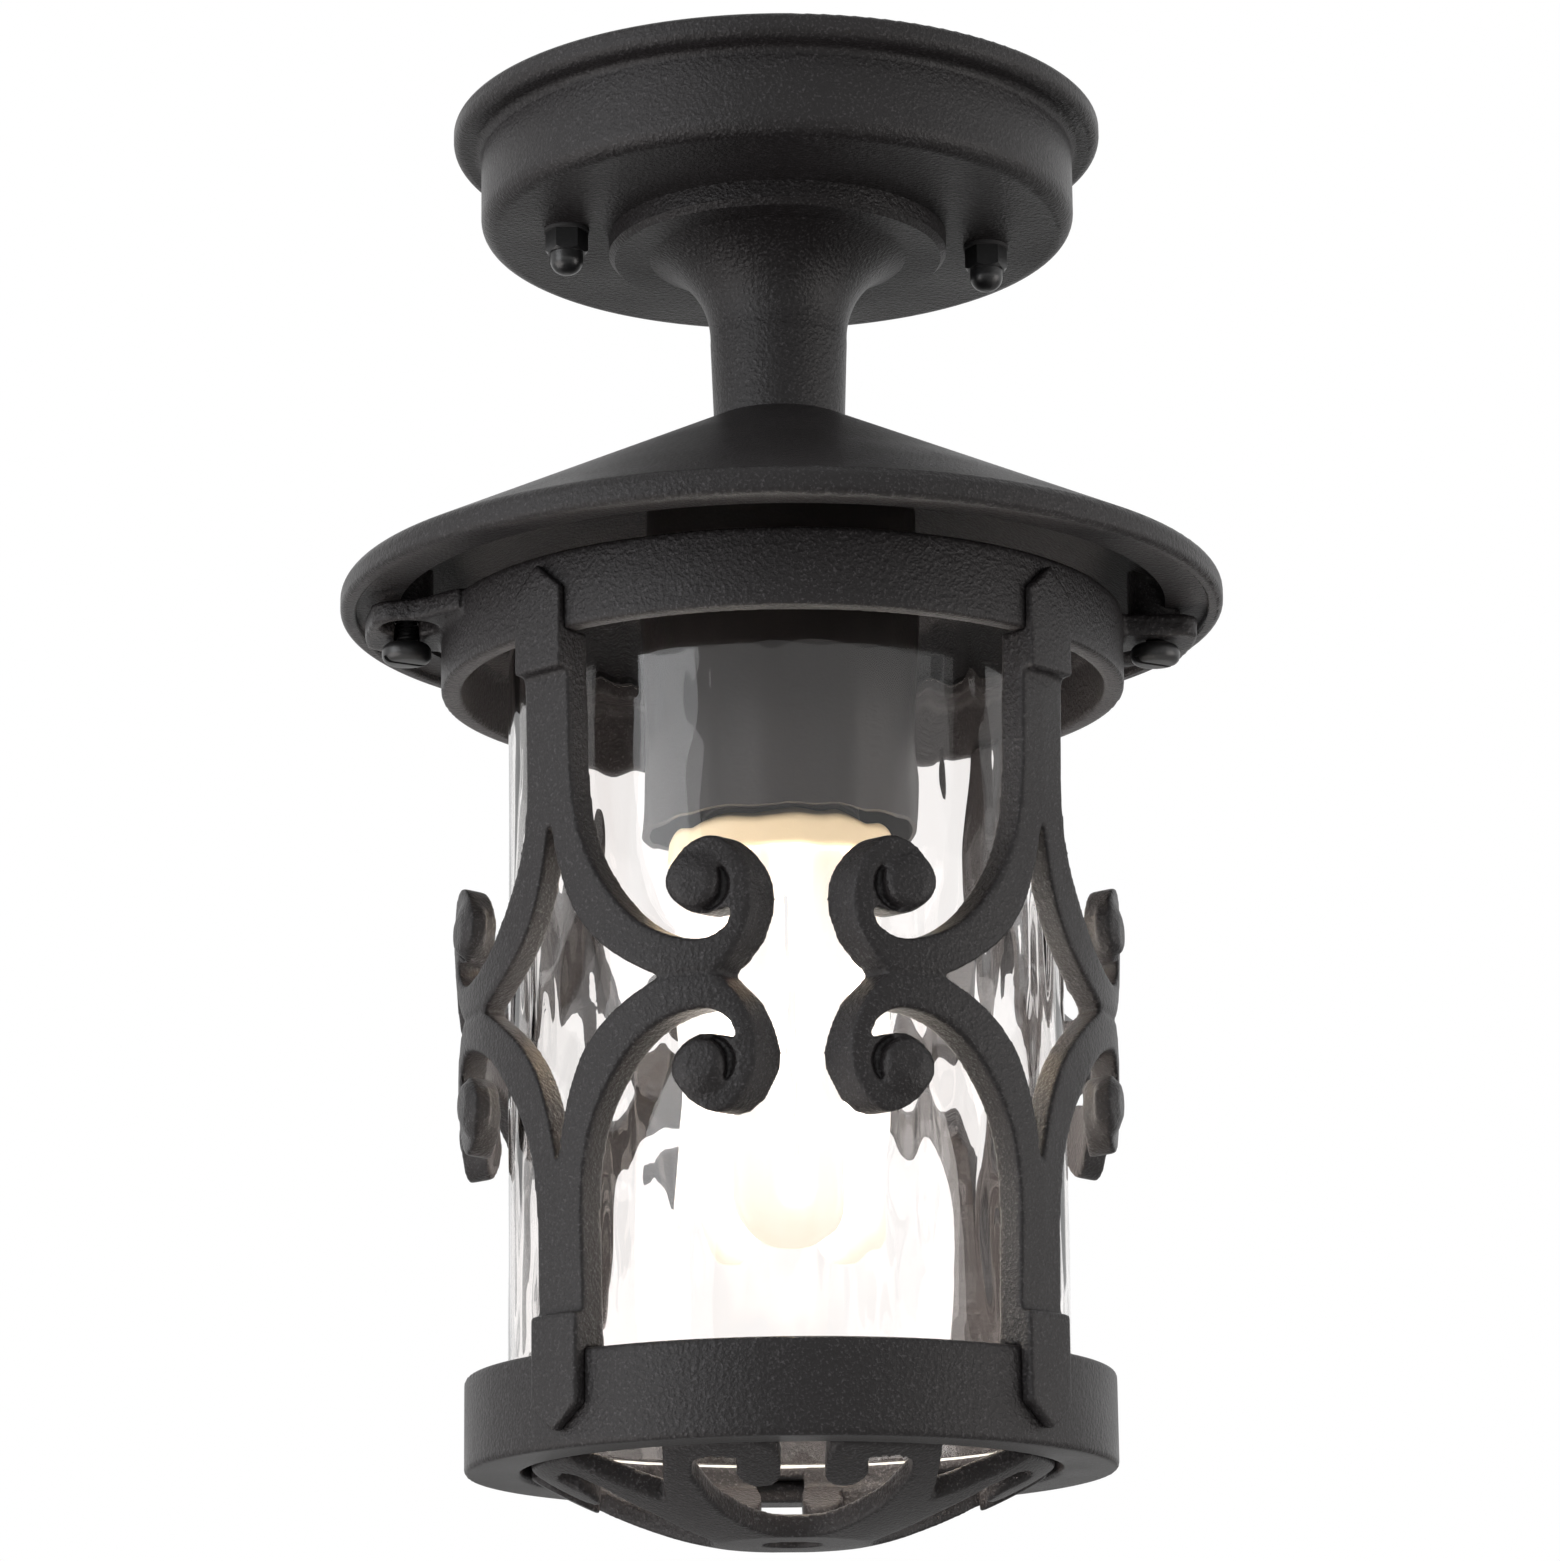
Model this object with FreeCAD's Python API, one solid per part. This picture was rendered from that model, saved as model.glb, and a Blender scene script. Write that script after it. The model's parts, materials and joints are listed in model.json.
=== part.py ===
"""Porch ceiling lantern: cast plate and stem, coned roof, scrolled cage round a glass tube.

Millimetres, +Z up.  The origin is the middle of the ceiling face.  The cage's ears lie
on the X axis, and one of its four windows faces -Y.
"""
import FreeCAD, Part
import math
import os
from FreeCAD import Vector

# ---------------------------------------------------------------- driving dimensions
# Ceiling plate and the strap behind it
PLATE_BODY_R = 68.4
PLATE_RIM_PROUD = 6.4       # rim beyond the plate's body, against the ceiling
PLATE_RIM_DEPTH = 5.6
PLATE_DEPTH = 25.8
PLATE_WALL = 3.0
PLATE_BOTTOM_ROUND = 4.0
STUD_CIRCLE_R = 49.0
STUD_TURN = 6.0             # degrees that the stud line is turned from the ears' axis
STUD_R = 2.5
STUD_TIP = 7.0              # how far a stud stands below the plate
STRAP_WIDTH = 18.0
STRAP_OVERHANG = 8.0        # strap beyond each stud
STRAP_THICKNESS = 2.5
CEILING_HOLE_CIRCLE_R = 33.0
CEILING_HOLE_R = 2.6
CABLE_HOLE_R = 6.0
LOCK_NUT_FLATS = 8.0
LOCK_NUT_HEIGHT = 4.0
GASKET_WIDTH = 3.0
GASKET_INSET = 4.5          # from the rim's edge to the gasket
GASKET_THICKNESS = 2.0
CAP_NUT_FLATS = 8.5
CAP_NUT_HEX_HEIGHT = 5.0
CAP_NUT_DOME_R = 3.8
CAP_NUT_HEIGHT = 10.0
CAP_WASHER_R = 5.2
CAP_WASHER_THICKNESS = 0.8

# Stem and the threaded tube through it
STEM_FLANGE_R = 39.0
STEM_FLANGE_THICKNESS = 5.4
STEM_FLARE_R = 29.5
STEM_FLARE_DEPTH = 20.6
STEM_NECK_TOP_R = 15.7
STEM_NECK_R = 15.0
STEM_LENGTH = 45.2
STEM_WALL = 4.0
STEM_FOOT = 6.0             # solid web at the stem's foot
TUBE_R = 5.0
TUBE_BORE_R = 4.0
TUBE_ABOVE_FLOOR = 8.5      # tube above the plate's floor
TUBE_NUT_FLATS = 14.0
TUBE_NUT_HEIGHT = 5.0
TUBE_WASHER_R = 9.0
TUBE_WASHER_THICKNESS = 1.0

# Roof
ROOF_APEX_R = 16.0
ROOF_FALL = 41.0            # apex to the top of the lip
ROOF_LIP = 5.6              # height of the lip
ROOF_LIP_WIDTH = 3.5
ROOF_WALL = 4.0
BRIM_WIDTH = 9.5            # flat of the brim inside the lip
BRIM_RECESS = 1.6           # flat of the brim above the lip's edge
ROOF_SEAL_R = 11.0
ROOF_SEAL_THICKNESS = 1.5
BOSS_R = 6.0
LIP_CLEARANCE = 2.0         # between the roof's lip and the ends of the ears

# Lamp cup and lampholder
CUP_R = 30.7
CUP_TOP_R = 14.5
CUP_WALL = 1.6
CUP_SHOULDER = 17.0
CUP_DEPTH = 92.4
HOLDER_R = 18.7
HOLDER_HEIGHT = 47.0
HOLDER_IN_CUP = 2.4         # lampholder's mouth above the cup's rim
HOLDER_TOP_WALL = 7.0
HOLDER_NECK_R = 9.0
HOLDER_NECK_HEIGHT = 6.0
HOLDER_BORE_R = 14.4
SHELL_WALL = 0.8
SHELL_HEIGHT = 24.0
INSULATOR_HEIGHT = 12.0
CONTACT_R = 3.5
CONTACT_THICKNESS = 1.2

# Lamp: screw cap, ivory base and three bent tubes
LAMP_CAP_R = 13.1
LAMP_CAP_SHOULDER = 5.0
LAMP_TIP_R = 4.0
LAMP_TIP_HEIGHT = 2.0
LAMP_BASE_R = 25.5
LAMP_BASE_NECK_R = 16.0
LAMP_BASE_SLOPE = 3.5
LAMP_BASE_HEIGHT = 10.5
LAMP_TUBE_R = 6.0
LAMP_TUBE_PITCH = 13.5      # between the two legs of a bent tube
LAMP_TUBE_RING_R = 16.0     # bent tubes stand on this circle
LAMP_TUBE_LENGTH = 88.0
LAMP_TUBES = 3

# Cage: two rings, four scrolled pillars, ears with keyholes
RING_WALL = 4.6
GLASS_PLAY = 1.35           # radial, between the glass and the collar round its top
COLLAR_THICKNESS = 3.5
UPPER_RING_R = 77.2
UPPER_RING_HEIGHT = 17.6
UPPER_RING_DROP = 0.3       # ring's top below the roof lip's edge
WINDOW_HEIGHT = 154.8       # clear height between the rings
LOWER_RING_R = 71.5
LOWER_RING_HEIGHT = 20.6
LOWER_BORE_PLAY = 0.85      # radial, between the glass and the lower ring's bore
LOWER_FLANGE_WIDTH = 12.3   # lower ring's underside, from its edge to the opening
LOWER_FLANGE_THICKNESS = 5.0
BAR_WIDTH = 13.2
BAR_THICKNESS = 6.5
BAR_TOP_INSET = 0.5         # bar's front behind the upper ring's face
BAR_FOOT_PROUD = 0.3        # bar's front before the lower ring's face
PAD_WIDTH = 13.4
UPPER_PAD_PROUD = 2.0       # pads in front of the rings' faces
LOWER_PAD_PROUD = 3.0
UPPER_PAD_TAIL = 9.0        # pads beyond the rings, along the bar
LOWER_PAD_TAIL = 7.4
UPPER_PAD_HEAD = 14.9       # pads over the rings, to their points
LOWER_PAD_HEAD = 17.4
PAD_POINT = 5.6
SCROLL_DIP = 1.0            # middle of the scrolls below the middle of the window
SCROLL_REACH = 44.5         # from the bar's middle to the scroll's outermost point
SCROLL_RISE = 29.5          # from the scrolls' middle to the top of a scroll
SCROLL_BAND = 7.5           # height of the band where two scrolls meet
SEAM_REACH = 26.2           # from the bar's middle to the point of the diamond
SPLIT_HEIGHT = 38.0         # from the scrolls' middle to where the bar splits
SEAM_DEPTH = 0.9            # groove between the two scrolls
EYE_R = 5.0
EYE_PROUD = 1.8
EYE_ROUND = 1.7
EYE_GROOVE = 2.2            # depth of the hollow beside an eye
EAR_BEYOND_SCREW = 9.5
EAR_THICKNESS = 5.0
SCREW_FROM_RING = 7.8       # from the upper ring's face to a screw's axis
KEYHOLE_R = 6.2
KEYHOLE_TWIST = 8.0         # degrees from the narrow end to the wide end
SHANK_R = 2.5
SCREW_HEAD_R = 5.0
SCREW_HEAD_HEIGHT = 4.5
SCREW_THREAD_LENGTH = 8.0
SCREW_SLOT = 1.2

# Glass and the dished grille under it
GLASS_R = 63.65
GLASS_WALL = 2.5
GLASS_BELOW_COLLAR = 1.5    # glass's top below the top of its collar
CUSHION_THICKNESS = 1.2
GRILLE_PLAY = 1.6           # radial, between the dish and the flange's opening
GRILLE_DROP = 15.5
GRILLE_THICKNESS = 5.0
GRILLE_SAG = 2.1            # how far the dish bulges below a straight cone
GRILLE_RIM_WIDTH = 9.0
GRILLE_RIM_THICKNESS = 2.5
GRILLE_POST_WIDTH = 3.4     # lobes' feet under the rim
HUB_R = 17.2
HUB_HOLE_R = 6.5

# Wiring in the ceiling plate
BLOCK_LENGTH = 28.0
BLOCK_WIDTH = 16.0
BLOCK_HEIGHT = 15.0
BLOCK_Y = 30.0
BLOCK_SCREW_R = 2.0
EARTH_BOSS_R = 5.0
EARTH_BOSS_HEIGHT = 3.0
EARTH_SCREW_R = 2.0
EARTH_HEAD_R = 4.0
EARTH_HEAD_HEIGHT = 2.4
EARTH_Y = -36.0
WIRE_R = 1.1
WIRE_SPREAD = 1.5
WIRE_BEND_R = 7.0

# Clearances
THREAD_PLAY = 0.05          # radial, between a thread and its nut
HOLE_PLAY = 0.3             # radial, where a tube or stud passes a plain hole
MOVING_GAP = 0.3            # between pieces that move past each other
SLOT_PLAY = 0.3             # each side of a shank in its keyhole

# ---------------------------------------------------------------- radii and levels
PLATE_RIM_R = PLATE_BODY_R + PLATE_RIM_PROUD
GASKET_OUTER_R = PLATE_RIM_R - GASKET_INSET
SCREW_CIRCLE_R = UPPER_RING_R + SCREW_FROM_RING
EAR_REACH_R = SCREW_CIRCLE_R + EAR_BEYOND_SCREW
LIP_INNER_R = EAR_REACH_R + LIP_CLEARANCE
ROOF_R = LIP_INNER_R + ROOF_LIP_WIDTH
BRIM_INNER_R = LIP_INNER_R - BRIM_WIDTH
COLLAR_R = GLASS_R + GLASS_PLAY
LOWER_BORE_R = GLASS_R + LOWER_BORE_PLAY
LOWER_FLANGE_R = LOWER_RING_R - LOWER_FLANGE_WIDTH
GRILLE_R = LOWER_FLANGE_R - GRILLE_PLAY
FLOOR_TOP = -(PLATE_DEPTH - PLATE_WALL)
PLATE_BOTTOM = -PLATE_DEPTH
STEM_BOTTOM = PLATE_BOTTOM - STEM_LENGTH
ROOF_TOP = STEM_BOTTOM
LIP_TOP = ROOF_TOP - ROOF_FALL
LIP_BOTTOM = LIP_TOP - ROOF_LIP
ROOF_CEILING = ROOF_TOP - ROOF_WALL
UPPER_RING_TOP = LIP_BOTTOM - UPPER_RING_DROP
UPPER_RING_BOTTOM = UPPER_RING_TOP - UPPER_RING_HEIGHT
LOWER_RING_TOP = UPPER_RING_BOTTOM - WINDOW_HEIGHT
LOWER_RING_BOTTOM = LOWER_RING_TOP - LOWER_RING_HEIGHT
FLANGE_TOP = LOWER_RING_BOTTOM + LOWER_FLANGE_THICKNESS
CUP_BOTTOM = ROOF_CEILING - CUP_DEPTH
HOLDER_BOTTOM = CUP_BOTTOM + HOLDER_IN_CUP
HOLDER_TOP = HOLDER_BOTTOM + HOLDER_HEIGHT
TUBE_TOP = FLOOR_TOP + TUBE_ABOVE_FLOOR
TUBE_BOTTOM = HOLDER_TOP - HOLDER_TOP_WALL / 2
INSULATOR_TOP = HOLDER_TOP - HOLDER_TOP_WALL
CONTACT_BOTTOM = INSULATOR_TOP - INSULATOR_HEIGHT - CONTACT_THICKNESS
EAR_BOTTOM = UPPER_RING_TOP - EAR_THICKNESS
BOSS_BOTTOM = UPPER_RING_TOP + MOVING_GAP
GRILLE_BOTTOM = LOWER_RING_BOTTOM - GRILLE_DROP
GRILLE_TOP = FLANGE_TOP + GRILLE_RIM_THICKNESS
UP = Vector(0, 0, 1)
CENTRE = Vector(0, 0, 0)


# ---------------------------------------------------------------- helpers
def upright(a, b):
    """Point of a drawing that stands on the XZ plane."""
    return Vector(a, 0, b)


def flat(a, b):
    """Point of a drawing that lies on the XY plane."""
    return Vector(a, b, 0)


def rounded_wire(corners, place):
    """Closed wire through corners (a, b) or (a, b, radius), each rounded by its radius."""
    count = len(corners)
    points = [place(corner[0], corner[1]) for corner in corners]
    arcs = []
    for i, corner in enumerate(corners):
        here = points[i]
        if len(corner) < 3:
            arcs.append((here, None, here))
            continue
        back = (points[i - 1] - here).normalize()
        ahead = (points[(i + 1) % count] - here).normalize()
        half = back.getAngle(ahead) / 2
        bisector = (back + ahead).normalize()
        reach = corner[2] / math.tan(half)
        middle = here + bisector * (corner[2] / math.sin(half) - corner[2])
        arcs.append((here + back * reach, middle, here + ahead * reach))
    edges = []
    for i, (start, middle, end) in enumerate(arcs):
        if middle is not None:
            edges.append(Part.Arc(start, middle, end).toShape())
        following = arcs[(i + 1) % count][0]
        if (following - end).Length > 1e-6:
            edges.append(Part.makeLine(end, following))
    return Part.Wire(edges)


def turned(corners):
    """Solid of revolution round Z from corners (radius, height[, rounding])."""
    return Part.Face(rounded_wire(corners, upright)).revolve(CENTRE, UP, 360)


def rod(radius, top, bottom, x=0.0, y=0.0):
    return Part.makeCylinder(radius, top - bottom, Vector(x, y, bottom))


def ring(outer_r, inner_r, top, bottom):
    return rod(outer_r, top, bottom).cut(rod(inner_r, top, bottom))


def hexagon(flats, top, bottom, x=0.0, y=0.0):
    corner_r = flats / math.sqrt(3)
    points = [Vector(x + corner_r * math.cos(math.radians(60 * i)),
                     y + corner_r * math.sin(math.radians(60 * i)), bottom) for i in range(7)]
    return Part.Face(Part.makePolygon(points)).extrude(Vector(0, 0, top - bottom))


def spun(shape, angle):
    """Copy of a shape turned round Z by an angle in degrees."""
    copy = shape.copy()
    copy.rotate(CENTRE, UP, angle)
    return copy


def polar(radius, angle):
    return radius * math.cos(math.radians(angle)), radius * math.sin(math.radians(angle))


def curve(points, start=None, end=None):
    """Smooth edge through points, with its end directions where they are given."""
    spline = Part.BSplineCurve()
    if start is None:
        spline.interpolate(Points=points)
    else:
        spline.interpolate(Points=points, InitialTangent=start, FinalTangent=end)
    return spline.toShape()


def joined(shapes):
    return shapes[0].fuse(shapes[1:]).removeSplitter() if len(shapes) > 1 else shapes[0]


# ---------------------------------------------------------------- ceiling end
def stud_places():
    return [polar(STUD_CIRCLE_R, STUD_TURN + 180 * i) for i in range(2)]


def ceiling_plate():
    inner_r = PLATE_BODY_R - PLATE_WALL
    inner_round = PLATE_BOTTOM_ROUND - PLATE_WALL / 2
    bore_r = TUBE_R + HOLE_PLAY
    plate = turned([
        (inner_r, 0), (PLATE_RIM_R, 0, 1.5), (PLATE_RIM_R, -PLATE_RIM_DEPTH, 2.5),
        (PLATE_BODY_R, -PLATE_RIM_DEPTH, 1.8), (PLATE_BODY_R, PLATE_BOTTOM, PLATE_BOTTOM_ROUND),
        (bore_r, PLATE_BOTTOM), (bore_r, FLOOR_TOP), (inner_r, FLOOR_TOP, inner_round)])
    groove = ring(GASKET_OUTER_R, GASKET_OUTER_R - GASKET_WIDTH, 0, -GASKET_THICKNESS)
    plate = plate.cut(groove)
    for x, y in stud_places():
        plate = plate.cut(rod(STUD_R + HOLE_PLAY, FLOOR_TOP, PLATE_BOTTOM, x, y))
    boss = rod(EARTH_BOSS_R, FLOOR_TOP + EARTH_BOSS_HEIGHT, FLOOR_TOP, 0, EARTH_Y)
    hole = rod(EARTH_SCREW_R, FLOOR_TOP + EARTH_BOSS_HEIGHT, FLOOR_TOP, 0, EARTH_Y)
    return plate.fuse(boss).cut(hole).removeSplitter()


def ceiling_gasket():
    return ring(GASKET_OUTER_R, GASKET_OUTER_R - GASKET_WIDTH, 0, -GASKET_THICKNESS)


def mounting_strap():
    half = STUD_CIRCLE_R + STRAP_OVERHANG
    side = STRAP_WIDTH / 2
    outline = [(-half, -side, 4), (half, -side, 4), (half, side, 4), (-half, side, 4)]
    strap = Part.Face(rounded_wire(outline, flat)).extrude(Vector(0, 0, -STRAP_THICKNESS))
    for sign in (1, -1):
        strap = strap.cut(rod(STUD_R, 0, -STRAP_THICKNESS, sign * STUD_CIRCLE_R))
        strap = strap.cut(rod(CEILING_HOLE_R, 0, -STRAP_THICKNESS, sign * CEILING_HOLE_CIRCLE_R))
    strap = strap.cut(rod(CABLE_HOLE_R, 0, -STRAP_THICKNESS))
    return spun(strap, STUD_TURN)


def strap_studs():
    return Part.makeCompound([rod(STUD_R, 0, PLATE_BOTTOM - STUD_TIP, x, y)
                              for x, y in stud_places()])


def stud_lock_nuts():
    top = -STRAP_THICKNESS
    bottom = top - LOCK_NUT_HEIGHT
    return Part.makeCompound([hexagon(LOCK_NUT_FLATS, top, bottom, x, y).cut(rod(STUD_R, top, bottom, x, y))
                              for x, y in stud_places()])


def cap_nut_washers():
    bottom = PLATE_BOTTOM - CAP_WASHER_THICKNESS
    return Part.makeCompound([
        rod(CAP_WASHER_R, PLATE_BOTTOM, bottom, x, y).cut(rod(STUD_R + HOLE_PLAY, PLATE_BOTTOM, bottom, x, y))
        for x, y in stud_places()])


def cap_nut(x, y):
    """Acorn nut: a hexagon with a bevelled foot and a dome, bored blind for its stud."""
    top = PLATE_BOTTOM - CAP_WASHER_THICKNESS
    hex_bottom = top - CAP_NUT_HEX_HEIGHT
    bottom = top - CAP_NUT_HEIGHT
    wide_r = CAP_NUT_FLATS / math.sqrt(3) + 1
    foot_r = CAP_NUT_FLATS / 2
    envelope = turned([(0, top), (wide_r, top), (wide_r, hex_bottom + wide_r - foot_r),
                       (foot_r, hex_bottom), (0, hex_bottom)])
    dome = turned([(0, hex_bottom + 1), (CAP_NUT_DOME_R, hex_bottom + 1),
                   (CAP_NUT_DOME_R, bottom, CAP_NUT_DOME_R - 0.5), (0, bottom)])
    nut = hexagon(CAP_NUT_FLATS, top, hex_bottom).common(envelope).fuse(dome).removeSplitter()
    bore_depth = STUD_TIP - CAP_WASHER_THICKNESS + HOLE_PLAY
    nut = nut.cut(rod(STUD_R + THREAD_PLAY, top, top - bore_depth))
    nut.translate(Vector(x, y, 0))
    return nut


# ---------------------------------------------------------------- stem and tube
def stem():
    """Flanged, flared and hollow; its foot bears on the roof's apex."""
    flange_bottom = PLATE_BOTTOM - STEM_FLANGE_THICKNESS
    neck_top = flange_bottom - STEM_FLARE_DEPTH
    bore_r = TUBE_R + HOLE_PLAY
    flare_middle = Vector(STEM_NECK_TOP_R + 0.28 * (STEM_FLARE_R - STEM_NECK_TOP_R), 0,
                          flange_bottom - 0.36 * STEM_FLARE_DEPTH)
    flare_top = Vector(STEM_FLARE_R, 0, flange_bottom)
    flare_foot = Vector(STEM_NECK_TOP_R, 0, neck_top)
    edge_r = STEM_FLANGE_THICKNESS / 4
    outline = [
        Part.makeLine(Vector(bore_r, 0, STEM_BOTTOM), Vector(bore_r, 0, STEM_BOTTOM + STEM_FOOT)),
        Part.makeLine(Vector(bore_r, 0, STEM_BOTTOM + STEM_FOOT),
                      Vector(STEM_NECK_R - STEM_WALL, 0, STEM_BOTTOM + STEM_FOOT)),
        Part.makeLine(Vector(STEM_NECK_R - STEM_WALL, 0, STEM_BOTTOM + STEM_FOOT),
                      Vector(STEM_NECK_TOP_R - STEM_WALL, 0, neck_top)),
        Part.makeLine(Vector(STEM_NECK_TOP_R - STEM_WALL, 0, neck_top),
                      Vector(STEM_FLARE_R - STEM_WALL, 0, PLATE_BOTTOM)),
        Part.makeLine(Vector(STEM_FLARE_R - STEM_WALL, 0, PLATE_BOTTOM),
                      Vector(STEM_FLANGE_R, 0, PLATE_BOTTOM)),
        Part.makeLine(Vector(STEM_FLANGE_R, 0, PLATE_BOTTOM),
                      Vector(STEM_FLANGE_R, 0, flange_bottom + edge_r)),
        Part.makeLine(Vector(STEM_FLANGE_R, 0, flange_bottom + edge_r),
                      Vector(STEM_FLANGE_R - edge_r, 0, flange_bottom)),
        Part.makeLine(Vector(STEM_FLANGE_R - edge_r, 0, flange_bottom), flare_top),
        Part.Arc(flare_top, flare_middle, flare_foot).toShape(),
        Part.makeLine(flare_foot, Vector(STEM_NECK_R, 0, STEM_BOTTOM)),
        Part.makeLine(Vector(STEM_NECK_R, 0, STEM_BOTTOM), Vector(bore_r, 0, STEM_BOTTOM))]
    return Part.Face(Part.Wire(outline)).revolve(CENTRE, UP, 360)


def threaded_tube():
    return ring(TUBE_R, TUBE_BORE_R, TUBE_TOP, TUBE_BOTTOM)


def tube_seats():
    """Heights where a washer starts, and the way its nut lies from it."""
    return [(FLOOR_TOP, 1), (ROOF_CEILING - CUP_WALL, -1)]


def tube_washers():
    washers = []
    for seat, way in tube_seats():
        other = seat + way * TUBE_WASHER_THICKNESS
        washers.append(ring(TUBE_WASHER_R, TUBE_R + HOLE_PLAY, max(seat, other), min(seat, other)))
    return Part.makeCompound(washers)


def tube_nuts():
    nuts = []
    for seat, way in tube_seats():
        near = seat + way * TUBE_WASHER_THICKNESS
        far = near + way * TUBE_NUT_HEIGHT
        top = max(near, far)
        bottom = min(near, far)
        nuts.append(hexagon(TUBE_NUT_FLATS, top, bottom).cut(rod(TUBE_R, top, bottom)))
    return Part.makeCompound(nuts)


# ---------------------------------------------------------------- roof
def roof_slope():
    """Fall of the cone for each millimetre outwards."""
    return ROOF_FALL / (ROOF_R - ROOF_APEX_R)


def roof_underside(radius):
    """Height of the cone's inner face at a radius."""
    wall_drop = ROOF_WALL * math.sqrt(1 + roof_slope() ** 2)
    return ROOF_TOP - roof_slope() * (radius - ROOF_APEX_R) - wall_drop


def roof():
    """Hollow cone with a rounded lip, a flat brim and two screw bosses."""
    bore_r = TUBE_R + HOLE_PLAY
    brim = LIP_BOTTOM + BRIM_RECESS
    apex_inner_r = ROOF_APEX_R + (roof_underside(ROOF_APEX_R) - ROOF_CEILING) / roof_slope()
    shell = turned([
        (bore_r, ROOF_TOP), (ROOF_APEX_R, ROOF_TOP), (ROOF_R, LIP_TOP, 3.0),
        (ROOF_R, LIP_BOTTOM, 1.6), (LIP_INNER_R, LIP_BOTTOM, 0.6), (LIP_INNER_R, brim),
        (BRIM_INNER_R, brim), (BRIM_INNER_R, roof_underside(BRIM_INNER_R)),
        (apex_inner_r, ROOF_CEILING), (bore_r, ROOF_CEILING)])
    shell = shell.cut(rod(ROOF_SEAL_R, ROOF_TOP, ROOF_TOP - ROOF_SEAL_THICKNESS))
    for sign in (1, -1):
        x = sign * SCREW_CIRCLE_R
        boss_top = roof_underside(SCREW_CIRCLE_R + BOSS_R) + ROOF_WALL / 2
        column = rod(BOSS_R, boss_top + BOSS_R, BOSS_BOTTOM, x)
        column = column.cut(roof_above())
        shell = shell.fuse(column)
        thread_top = EAR_BOTTOM - MOVING_GAP + EAR_THICKNESS + SCREW_THREAD_LENGTH
        shell = shell.cut(rod(SHANK_R + THREAD_PLAY, thread_top, BOSS_BOTTOM, x))
    return shell.removeSplitter()


def roof_above():
    """Everything above the middle of the cone's wall, used to trim the bosses."""
    half = ROOF_WALL / 2
    edge = ROOF_TOP - half - roof_slope() * (ROOF_R - ROOF_APEX_R)
    return turned([(0, ROOF_TOP - half), (ROOF_APEX_R, ROOF_TOP - half), (ROOF_R, edge),
                   (ROOF_R, ROOF_TOP + half), (0, ROOF_TOP + half)])


def roof_seal():
    return ring(ROOF_SEAL_R, TUBE_R + HOLE_PLAY, ROOF_TOP, ROOF_TOP - ROOF_SEAL_THICKNESS)


# ---------------------------------------------------------------- cup, lampholder and lamp
def lamp_cup():
    bore_r = TUBE_R + HOLE_PLAY
    shoulder = ROOF_CEILING - CUP_SHOULDER
    return turned([
        (bore_r, ROOF_CEILING), (CUP_TOP_R, ROOF_CEILING), (CUP_R, shoulder, 3.0),
        (CUP_R, CUP_BOTTOM), (CUP_R - CUP_WALL, CUP_BOTTOM),
        (CUP_R - CUP_WALL, shoulder - CUP_WALL / 2, 2.0),
        (CUP_TOP_R - CUP_WALL / 2, ROOF_CEILING - CUP_WALL), (bore_r, ROOF_CEILING - CUP_WALL)])


def holder_body():
    neck_top = HOLDER_TOP + HOLDER_NECK_HEIGHT
    return turned([
        (TUBE_R, neck_top), (HOLDER_NECK_R, neck_top, 1.0), (HOLDER_NECK_R, HOLDER_TOP),
        (HOLDER_R, HOLDER_TOP, 4.0), (HOLDER_R, HOLDER_BOTTOM, 0.8),
        (HOLDER_BORE_R, HOLDER_BOTTOM), (HOLDER_BORE_R, INSULATOR_TOP), (TUBE_R, INSULATOR_TOP)])


def holder_insulator():
    return rod(HOLDER_BORE_R, INSULATOR_TOP, INSULATOR_TOP - INSULATOR_HEIGHT)


def holder_contact():
    return rod(CONTACT_R, CONTACT_BOTTOM + CONTACT_THICKNESS, CONTACT_BOTTOM)


def holder_shell():
    top = INSULATOR_TOP - INSULATOR_HEIGHT
    return ring(HOLDER_BORE_R, HOLDER_BORE_R - SHELL_WALL, top, top - SHELL_HEIGHT)


def lamp_levels():
    """Heights of the lamp: its tip, the top of its cap and the top of its base."""
    tip = CONTACT_BOTTOM - 0.1
    return tip, tip - LAMP_TIP_HEIGHT, HOLDER_BOTTOM - MOVING_GAP


def lamp_tip():
    tip, cap_top, _ = lamp_levels()
    return turned([(0, tip), (LAMP_TIP_R, tip, 1.0), (LAMP_TIP_R, cap_top), (0, cap_top)])


def lamp_cap():
    _, cap_top, base_top = lamp_levels()
    return turned([
        (0, cap_top), (LAMP_TIP_R, cap_top), (LAMP_CAP_R, cap_top - LAMP_CAP_SHOULDER, 1.5),
        (LAMP_CAP_R, base_top), (0, base_top)])


def lamp_base():
    _, _, top = lamp_levels()
    bottom = top - LAMP_BASE_HEIGHT
    return turned([
        (0, top), (LAMP_BASE_NECK_R, top), (LAMP_BASE_R, top - LAMP_BASE_SLOPE, 2.0),
        (LAMP_BASE_R, bottom, 1.5), (0, bottom)])


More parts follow.
